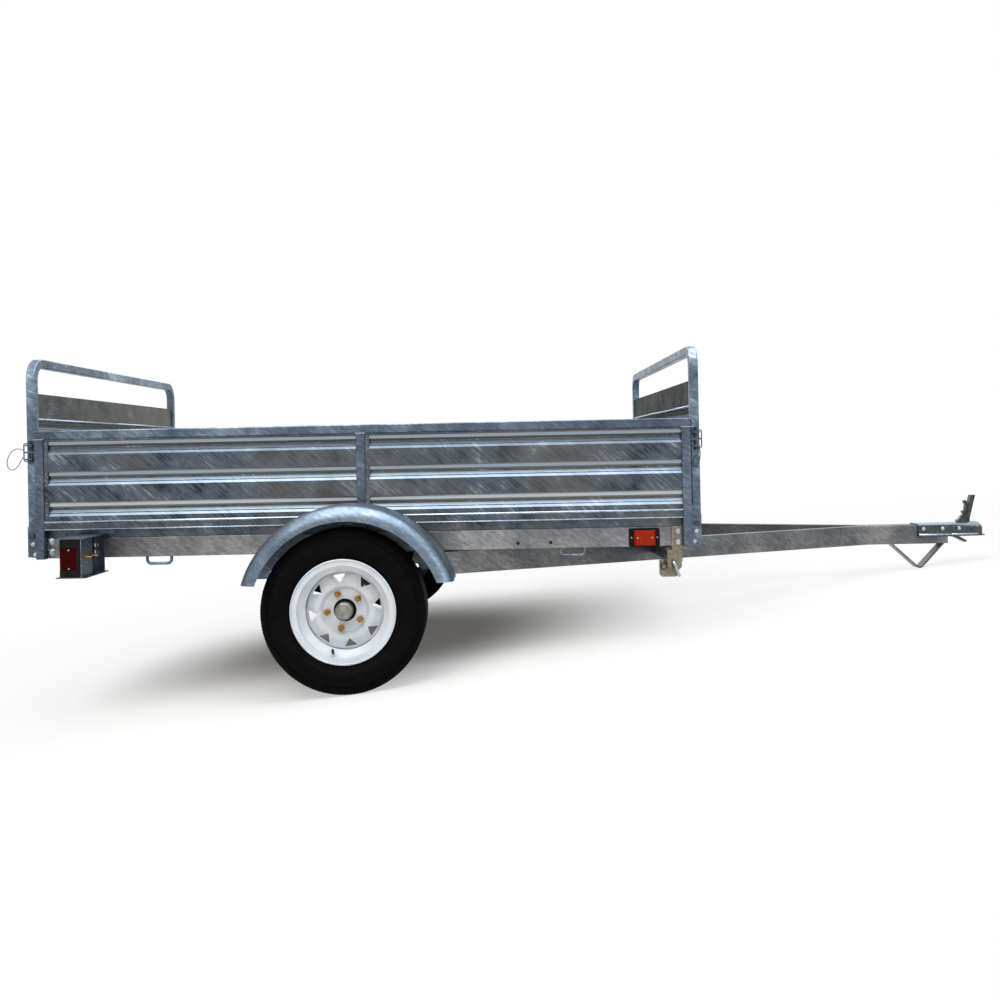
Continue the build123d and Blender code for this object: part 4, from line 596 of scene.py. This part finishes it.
# Nuts and bolts: width across flats, height and crown of each kind of head. Then, as shares of the width, the
# inset and rise of the head's chamfer and the step inside it, and the rounding as a share of the crown.
WHEEL_NUT = (19.0, 14.0, 6.0)
LARGE_BOLT = (17.0, 7.0, 2.0)
SMALL_BOLT = (13.0, 6.0, 1.5)
STUD_NUT = (10.0, 5.0, 1.2)
CLAMP_NUT = (17.0, 9.0, 3.0)
COUPLER_BOLT = (14.0, 6.5, 1.5)
HEAD_CHAMFER = (0.16, 0.07)
HEAD_STEP = 0.02
HEAD_ROUNDING = 0.2
HEAD_SMOOTH = 30.0


def hex_form(name, across, height, crown):
    """Six-sided nut or bolt head: a prism whose top is inset, drawn up to a crown and rounded off."""
    bpy.ops.object.select_all(action="DESELECT")
    bpy.ops.mesh.primitive_cylinder_add(vertices=6, radius=across * MM / math.sqrt(3), depth=height * MM,
                                        location=(0, 0, height * MM / 2))
    piece = bpy.context.object
    piece.name = name
    bpy.ops.object.transform_apply(location=True, rotation=True, scale=True)
    edit(piece)
    bpy.ops.mesh.select_all(action="DESELECT")
    bpy.ops.object.mode_set(mode="OBJECT")
    for face in piece.data.polygons:
        face.select = face.normal.z > 0.9
    bpy.ops.object.mode_set(mode="EDIT")
    bpy.ops.mesh.select_mode(type="FACE")
    inset, rise = HEAD_CHAMFER
    bpy.ops.mesh.inset(thickness=across * MM * inset, depth=across * MM * rise)
    bpy.ops.mesh.inset(thickness=across * MM * HEAD_STEP, depth=0)
    bpy.ops.mesh.extrude_region_move(TRANSFORM_OT_translate={"value": (0, 0, crown * MM)})
    bpy.ops.mesh.bevel(offset=min(crown, across) * MM * HEAD_ROUNDING, segments=2)
    bpy.ops.mesh.select_mode(type="VERT")
    bpy.ops.object.mode_set(mode="OBJECT")
    bpy.ops.object.shade_smooth_by_angle(angle=math.radians(HEAD_SMOOTH))
    return piece


# Wheel nuts and valve stems, on the wheel: the nuts' seat and the stem's depth are measured outwards from the
# wheel's middle plane, and the stem's place from its axis. The stem leans by a share inwards and a share out.
STUD_CIRCLE = 114.3
STUD_COUNT = 5
STUD_FIRST_ANGLE = 41.0
DISC_FACE = 6.0
STEM_PLACE = (-39.0, -135.0)
STEM_DEPTH = 24.0
STEM_LEAN = (0.45, 0.9)
STEM_PROFILE = ((7.5, 0), (7.5, 2), (5, 4), (4.2, 22), (3.6, 24), (3.6, 25), (4.6, 25.5), (4.6, 33),
                (3.6, 35), (1, 35.5))
STEM_SEGMENTS = 18


def make_wheel_nuts():
    master = hex_form("wheel_nut_form", *WHEEL_NUT)
    for side, sign in SIDES.items():
        places = []
        for number in range(STUD_COUNT):
            angle = math.radians(STUD_FIRST_ANGLE + number * 360 / STUD_COUNT)
            x = STUD_CIRCLE / 2 * math.cos(angle)
            z = WHEEL_RADIUS + STUD_CIRCLE / 2 * math.sin(angle)
            places.append(((x, sign * (WHEEL_Y + DISC_FACE), z), (0, sign, 0)))
        copies(side + "_wheel_nuts", master, places, side + "_wheel", brass_plate)
    remove(master)


def make_valve_stems():
    """Snap-in rubber stem with a cap, leaning out of the rim's slope."""
    master = close_form(turned("stem_form", STEM_PROFILE, STEM_SEGMENTS))
    x, z = STEM_PLACE
    inwards, outwards = STEM_LEAN
    lean = Vector((-x, 0, -z)).normalized() * inwards
    for side, sign in SIDES.items():
        place = (x, sign * (WHEEL_Y + STEM_DEPTH), WHEEL_RADIUS + z)
        copies(side + "_valve_stem", master, [(place, (lean.x, sign * outwards, lean.z))], side + "_wheel",
               stem_rubber)
    remove(master)


# Bolts: places on the right-hand side, each also on the left.
LATCH_BOLTS = ((1104.0, 768.0, 487.0), (1103.0, 768.0, 450.0))
BRACKET_BOLTS = ((1164.0, 770.0, 486.0), (1157.0, 770.0, 451.0),
                 (-1062.0, 770.0, 486.0), (-1055.0, 770.0, 451.0))
POST_BOLTS = ((-1005.0, 762.0, 494.0), (-1005.0, 762.0, 458.0))
ROOT_BOLTS = ((-851.0, 765.0, 480.0), (-851.0, 765.0, 457.0))
LAMP_STUDS = ((-827.0, 940.0, 456.0), (-827.0, 885.0, 456.0))
MARKER_SCREWS = ((947.0, 770.0, 467.0), (1033.0, 770.0, 467.0), (966.0, 786.0, 467.0), (1014.0, 786.0, 467.0))
LAMP_SCREWS = ((-868.5, 957.0, 480.0), (-868.5, 957.0, 421.0))
COUPLER_BOLTS = ((2217.0, 43.8, 414.5), (2294.0, 43.8, 414.5), (2362.0, 40.2, 415.0))

# Nuts below each spring's clamp plate, as X and Y from the middle of the spring.
CLAMP_NUTS = ((38.0, 28.5), (38.0, -28.5), (-38.0, 28.5), (-38.0, -28.5))
SPRING_Y = 742.0
CLAMP_PLATE_BOTTOM = 232.0

# Turned forms, as radius and height: a washer, a pan-head screw, and the threads of a lamp stud.
WASHER = 2.0
WASHER_PROFILE = ((11.5, 0), (12, 0.5), (12, 1.5), (11.5, WASHER), (6, WASHER))
WASHER_SEGMENTS = 28
SCREW_PROFILE = ((3.0, 0), (3.0, 0.6), (2.4, 1.5), (1.2, 1.9), (1.1, 1.2), (0.3, 1.2))
SCREW_SEGMENTS = 20
STUD_RADII = (2.5, 2.05)
STUD_PITCH = 1.2
STUD_RINGS = 23
STUD_SEGMENTS = 14


def make_bolts():
    """Bolt heads, washers, screws and nuts of the frame, the lamps, the springs and the coupler."""
    zinc = FINISHES["bright_zinc"]
    large = hex_form("large_bolt_form", *LARGE_BOLT)
    copies("latch_plate_bolts", large, both(LATCH_BOLTS), "bed", zinc)
    copies("post_bolts", large, both(POST_BOLTS, WASHER), "bed", zinc)
    washer = close_form(turned("washer_form", WASHER_PROFILE, WASHER_SEGMENTS))
    copies("post_washers", washer, both(POST_BOLTS), "bed", zinc)
    small = hex_form("small_bolt_form", *SMALL_BOLT)
    copies("hinge_bracket_bolts", small, both(BRACKET_BOLTS), "bed", zinc)
    copies("lamp_bracket_bolts", small, both(ROOT_BOLTS), "bed", zinc)
    stud_places = [((x, sign * y, z), (1, 0, 0)) for sign in SIDES.values() for x, y, z in LAMP_STUDS]
    threads = [(STUD_RADII[ring % 2], ring * STUD_PITCH) for ring in range(STUD_RINGS)]
    stud = close_form(turned("lamp_stud_form", threads, STUD_SEGMENTS))
    copies("lamp_studs", stud, stud_places, "bed", brass_plate)
    nut = hex_form("stud_nut_form", *STUD_NUT)
    copies("lamp_stud_nuts", nut, stud_places, "bed", brass_plate)
    clamps = [((x, sign * SPRING_Y + y, CLAMP_PLATE_BOTTOM), (0, 0, -1)) for sign in SIDES.values()
              for x, y in CLAMP_NUTS]
    clamp_nut = hex_form("clamp_nut_form", *CLAMP_NUT)
    copies("spring_clamp_nuts", clamp_nut, clamps, "bed", zinc)
    coupler_bolt = hex_form("coupler_bolt_form", *COUPLER_BOLT)
    copies("coupler_bolts", coupler_bolt, both(COUPLER_BOLTS), "drawbar", zinc)
    screw = close_form(turned("pan_screw_form", SCREW_PROFILE, SCREW_SEGMENTS))
    copies("marker_screws", screw, both(MARKER_SCREWS), "bed", zinc)
    copies("lamp_screws", screw, both(LAMP_SCREWS), "bed", zinc)
    for master in (large, washer, small, stud, nut, clamp_nut, coupler_bolt, screw):
        remove(master)


# Wire rings and the bent wire loops that carry them, on the outer face of the drawbar's latch plates:
# place, half width, half height, wire radius and forward lean in degrees.
LATCH_WIRES = {
    "ring": ((1056.5, 750.4, 367.0), 10.0, 11.2, 1.7, 0.0),
    "loop": ((1062.0, 749.0, 402.0), 6.5, 29.0, 0.9, 9.0),
}
RING_SEGMENTS = 40
WIRE_SEGMENTS = 8
WIRE_SMOOTH = 60.0


def make_latch_rings():
    """Each ring or loop is a round of wire, drawn out to its height and leaned in its own plane."""
    for kind, (place, half_width, half_height, wire, lean) in LATCH_WIRES.items():
        for side, sign in SIDES.items():
            bpy.ops.object.select_all(action="DESELECT")
            bpy.ops.mesh.primitive_torus_add(major_radius=half_width * MM, minor_radius=wire * MM,
                                             major_segments=RING_SEGMENTS, minor_segments=WIRE_SEGMENTS,
                                             location=(0, 0, 0))
            ring = bpy.context.object
            edit(ring)
            bpy.ops.transform.resize(value=(1.0, half_height / half_width, 1.0))
            bpy.ops.transform.rotate(value=sign * math.radians(lean), orient_axis="Z",
                                     center_override=(0, 0, 0))
            bpy.ops.object.mode_set(mode="OBJECT")
            bpy.ops.object.shade_smooth_by_angle(angle=math.radians(WIRE_SMOOTH))
            seat = [((place[0], sign * place[1], place[2]), (0, sign, 0))]
            copies(side + "_latch_wire_" + kind, ring, seat, "drawbar", dark_wire)
            remove(ring)


# Weld beads on the right-hand side, each also on the left: across the heads of the posts, down the edges of
# their feet, and under the nose tube where the parking foot meets it. Then the spot welds of the wall
# strips, and the drops that make up a bead.
POST_HEADS = ((-1046, -1016), (29, 59), (1118, 1148))
POST_EDGES = (-1016, 29, 59, 1118)
FOOT_ENDS = (2097, 2307)
WELDS = {
    "bed": [((start, 791, 836), (end, 791, 836)) for start, end in POST_HEADS]
           + [((x, 763, 442), (x, 763, 502)) for x in POST_EDGES],
    "drawbar": [((x, 24, 353), (x, 2, 353)) for x in FOOT_ENDS],
}
SPOT_WELD_COLUMNS = (-1009.0, 66.0)
SPOT_WELD_HEIGHTS = (582.0, 622.0, 682.0, 722.0, 782.0, 818.0)
STRIP_FACE = 786.0
BEAD_RADIUS = 2.6
BEAD_STEP = 3.4
BEAD_SQUASH = (1.25, 0.8, 1.0)
BEAD_SEGMENTS = 10
BEAD_RINGS = 6


def make_welds():
    """Each bead is a row of flattened drops laid one over the next; the wall strips are spot welded."""
    bpy.ops.object.select_all(action="DESELECT")
    bpy.ops.mesh.primitive_uv_sphere_add(segments=BEAD_SEGMENTS, ring_count=BEAD_RINGS,
                                         radius=BEAD_RADIUS * MM, location=(0, 0, 0))
    drop = bpy.context.object
    edit(drop)
    bpy.ops.transform.resize(value=BEAD_SQUASH)
    bpy.ops.object.mode_set(mode="OBJECT")
    bpy.ops.object.shade_smooth()
    for body, beads in WELDS.items():
        places = []
        for start, end in beads:
            start, end = Vector(start), Vector(end)
            count = max(2, round((end - start).length / BEAD_STEP))
            for number in range(count + 1):
                places += both([start.lerp(end, number / count)])
        copies(body + "_weld_beads", drop, places, body, weld_metal)
    spots = [(x, STRIP_FACE, z) for x in SPOT_WELD_COLUMNS for z in SPOT_WELD_HEIGHTS]
    copies("wall_spot_welds", drop, both(spots), "bed", weld_metal)
    remove(drop)


# Rolled edges, on the right-hand side and its twin: body, start, end and radius.
HEMS = {
    "rear_wall_ledge": ("bed", (-1016.0, 790.4, 559.5), (29.0, 790.4, 559.5), 4.2),
    "rear_wall_foot": ("bed", (-1016.0, 789.9, 534.5), (29.0, 789.9, 534.5), 2.6),
    "front_wall_ledge": ("bed", (59.0, 790.4, 559.5), (1118.0, 790.4, 559.5), 4.2),
    "front_wall_foot": ("bed", (59.0, 789.9, 534.5), (1118.0, 789.9, 534.5), 2.6),
    "rear_gate_rib": ("rear_gate", (-1057.0, -2.0, 906.0), (-1057.0, 734.0, 906.0), 4.0),
    "front_gate_rib": ("front_gate", (1159.0, -2.0, 906.0), (1159.0, 734.0, 906.0), 4.0),
    "coupler_side": ("drawbar", (2198.0, 48.3, 390.5), (2330.0, 48.3, 390.5), 4.5),
    "coupler_taper": ("drawbar", (2330.0, 48.3, 390.5), (2443.0, 35.7, 390.5), 4.5),
}
HEM_CHAMFER = 1.5
HEM_SEGMENTS = 16
HEM_SMOOTH = 50.0


def make_hems():
    """Rolled edges of the walls, the gates and the coupler's skirt, in a zinc paler than the zinc round them: a
    painted highlight that shows them as bright lines.
    """
    for name, (body, start, end, radius) in HEMS.items():
        length = (Vector(end) - Vector(start)).length
        tip = radius - HEM_CHAMFER
        profile = ((tip, 0), (radius, HEM_CHAMFER), (radius, length - HEM_CHAMFER), (tip, length))
        master = close_form(turned("hem_form", profile, HEM_SEGMENTS), HEM_SMOOTH)
        places = []
        for sign in SIDES.values():
            way = (end[0] - start[0], sign * (end[1] - start[1]), end[2] - start[2])
            places.append(((start[0], sign * start[1], start[2]), way))
        copies(name + "_hems", master, places, body, edge_highlight_zinc)
        remove(master)


# Lanyards: the catch pins, then each gate's way out from the bed, the wire's length, and the points of its
# route, as distances from the catch pin: X away from the bed, then Z.
CATCH_HEIGHT = 795.0
CATCH_PIN_Y = 777.5
HINGE_PLACES = {"rear": -1066.0, "front": 1168.0}
LANYARD_DIAMETER = 2.4
LANYARDS = {
    "rear": (-1, 175.9, ((21.7, 8.0), (39.0, 15.0), (58.0, 7.0), (72.0, -12.0), (78.0, -36.0), (70.0, -57.0),
                         (52.0, -59.0), (36.0, -42.0), (29.0, -26.0), (22.2, -16.0))),
    "front": (1, 140.8, ((12.0, -31.7), (15.0, -46.0), (13.0, -62.0), (9.0, -80.0), (1.0, -96.0),
                         (-9.0, -93.0), (-11.0, -77.0), (-6.0, -62.0), (3.0, -53.0), (7.0, -44.0),
                         (6.0, -31.7))),
}


def make_lanyards():
    """Wire loops that hang on the bails of the catch pins."""
    for gate, (way, length, route) in LANYARDS.items():
        for side, sign in SIDES.items():
            points = [at(HINGE_PLACES[gate] + way * out, sign * CATCH_PIN_Y, CATCH_HEIGHT + up)
                      for out, up in route]
            name = side + "_" + gate + "_wire_loop"
            curve = bpy.data.curves.new(name, "CURVE")
            curve.dimensions = "3D"
            curve.resolution_u = 12
            curve.bevel_depth = LANYARD_DIAMETER / 2 * MM
            curve.bevel_resolution = 3
            curve.use_fill_caps = True
            spline = curve.splines.new("NURBS")
            spline.points.add(len(points) - 1)
            for spot, point in zip(spline.points, points):
                spot.co = (*point, 1.0)
            spline.order_u = 3
            spline.use_endpoint_u = True
            wire = bpy.data.objects.new(name, curve)
            bpy.context.collection.objects.link(wire)
            curve.materials.append(FINISHES["wire_rope"])
            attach(wire, gate + "_gate")
            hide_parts(side + "_" + gate + "_lanyard")


# Studio floor: its width in metres and its colour. Then the distances in metres, from the point under the
# axle and from the origin, over which it fades, and the share of white it gains over each.
FLOOR_WIDTH = 60.0
FLOOR_COLOUR = "#d9d5cd"
NEAR_FADE = (0.35, 1.3)
NEAR_WHITE = (0.06, 0.78)
FAR_FADE = (1.6, 3.8)
FAR_WHITE = (0.0, 0.22)


def make_floor():
    """Matt floor that takes the trailer's shadow and turns to plain white away from it."""
    bpy.ops.object.select_all(action="DESELECT")
    bpy.ops.mesh.primitive_plane_add(size=FLOOR_WIDTH, location=(0, 0, 0))
    floor = bpy.context.object
    floor.name = "studio_floor"
    material = bpy.data.materials.new("white_studio_floor")
    material.use_nodes = True
    tree = material.node_tree
    tree.nodes.clear()
    place = add(tree, "TexCoord").outputs["Object"]
    under_axle = (wheel_axis.x, 0, 0)
    near = add(tree, "VectorMath", {0: place, 1: under_axle}, operation="DISTANCE").outputs["Value"]
    near = add(tree, "MapRange", {"Value": near, "From Min": NEAR_FADE[0], "From Max": NEAR_FADE[1],
                                  "To Min": NEAR_WHITE[0], "To Max": NEAR_WHITE[1]},
               interpolation_type="SMOOTHSTEP").outputs[0]
    far = add(tree, "VectorMath", {0: place}, operation="LENGTH").outputs["Value"]
    far = add(tree, "MapRange", {"Value": far, "From Min": FAR_FADE[0], "From Max": FAR_FADE[1],
                                 "To Min": FAR_WHITE[0], "To Max": FAR_WHITE[1]}).outputs[0]
    whiteness = add(tree, "Math", {0: near, 1: far}, operation="ADD").outputs[0]
    share = add(tree, "Math", {0: background_rays(tree), 1: whiteness}, operation="MULTIPLY").outputs[0]
    matt = add(tree, "BsdfDiffuse", {"Color": linear(FLOOR_COLOUR)}).outputs[0]
    white = add(tree, "Emission", {"Color": linear("#ffffff"), "Strength": 1.0}).outputs[0]
    mixed = add(tree, "MixShader", {0: share, 1: matt, 2: white}).outputs[0]
    add(tree, "OutputMaterial", {"Surface": mixed})
    floor.data.materials.append(material)


# Light: the sky's colour and strength, then soft lamps that face one point, each with its place, size in
# metres, power in watts and colour.
SKY_COLOUR = "#dfe8f2"
SKY_STRENGTH = 0.45
LAMP_TARGET = (0, 0, 500)
LAMPS = {
    "overhead": ((0, -900, 4000), 4.4, 300.0, "#f2f7ff"),
    "key": ((-1600, -3600, 3400), 2.0, 60.0, "#fff6ea"),
    "fill": ((3200, -3400, 2000), 2.0, 30.0, "#eaf2ff"),
    "back": ((0, 3600, 3800), 3.0, 60.0, "#ffffff"),
}


def make_light():
    """A dim sky that lights the trailer, shown as plain white where it is seen, and soft lamps."""
    world = bpy.data.worlds.new("white_sky")
    bpy.context.scene.world = world
    world.use_nodes = True
    tree = world.node_tree
    tree.nodes.clear()
    sky = add(tree, "Background", {"Color": linear(SKY_COLOUR), "Strength": SKY_STRENGTH}).outputs[0]
    white = add(tree, "Background", {"Color": linear("#ffffff"), "Strength": 1.0}).outputs[0]
    mixed = add(tree, "MixShader", {0: background_rays(tree), 1: sky, 2: white}).outputs[0]
    add(tree, "OutputWorld", {"Surface": mixed})
    for name, (place, size, power, colour) in LAMPS.items():
        data = bpy.data.lights.new(name, "AREA")
        data.size = size
        data.energy = power
        data.color = linear(colour)[:3]
        lamp = bpy.data.objects.new(name, data)
        bpy.context.collection.objects.link(lamp)
        lamp.location = mm(*place)
        lamp.rotation_euler = (mm(*LAMP_TARGET) - mm(*place)).to_track_quat("-Z", "Y").to_euler()


make_camera()
make_lanyards()
dress_nodes()
make_tyres()
make_wheel_nuts()
make_valve_stems()
make_bolts()
make_latch_rings()
make_welds()
make_hems()
make_floor()
make_light()
bpy.context.scene.view_settings.view_transform = "Standard"
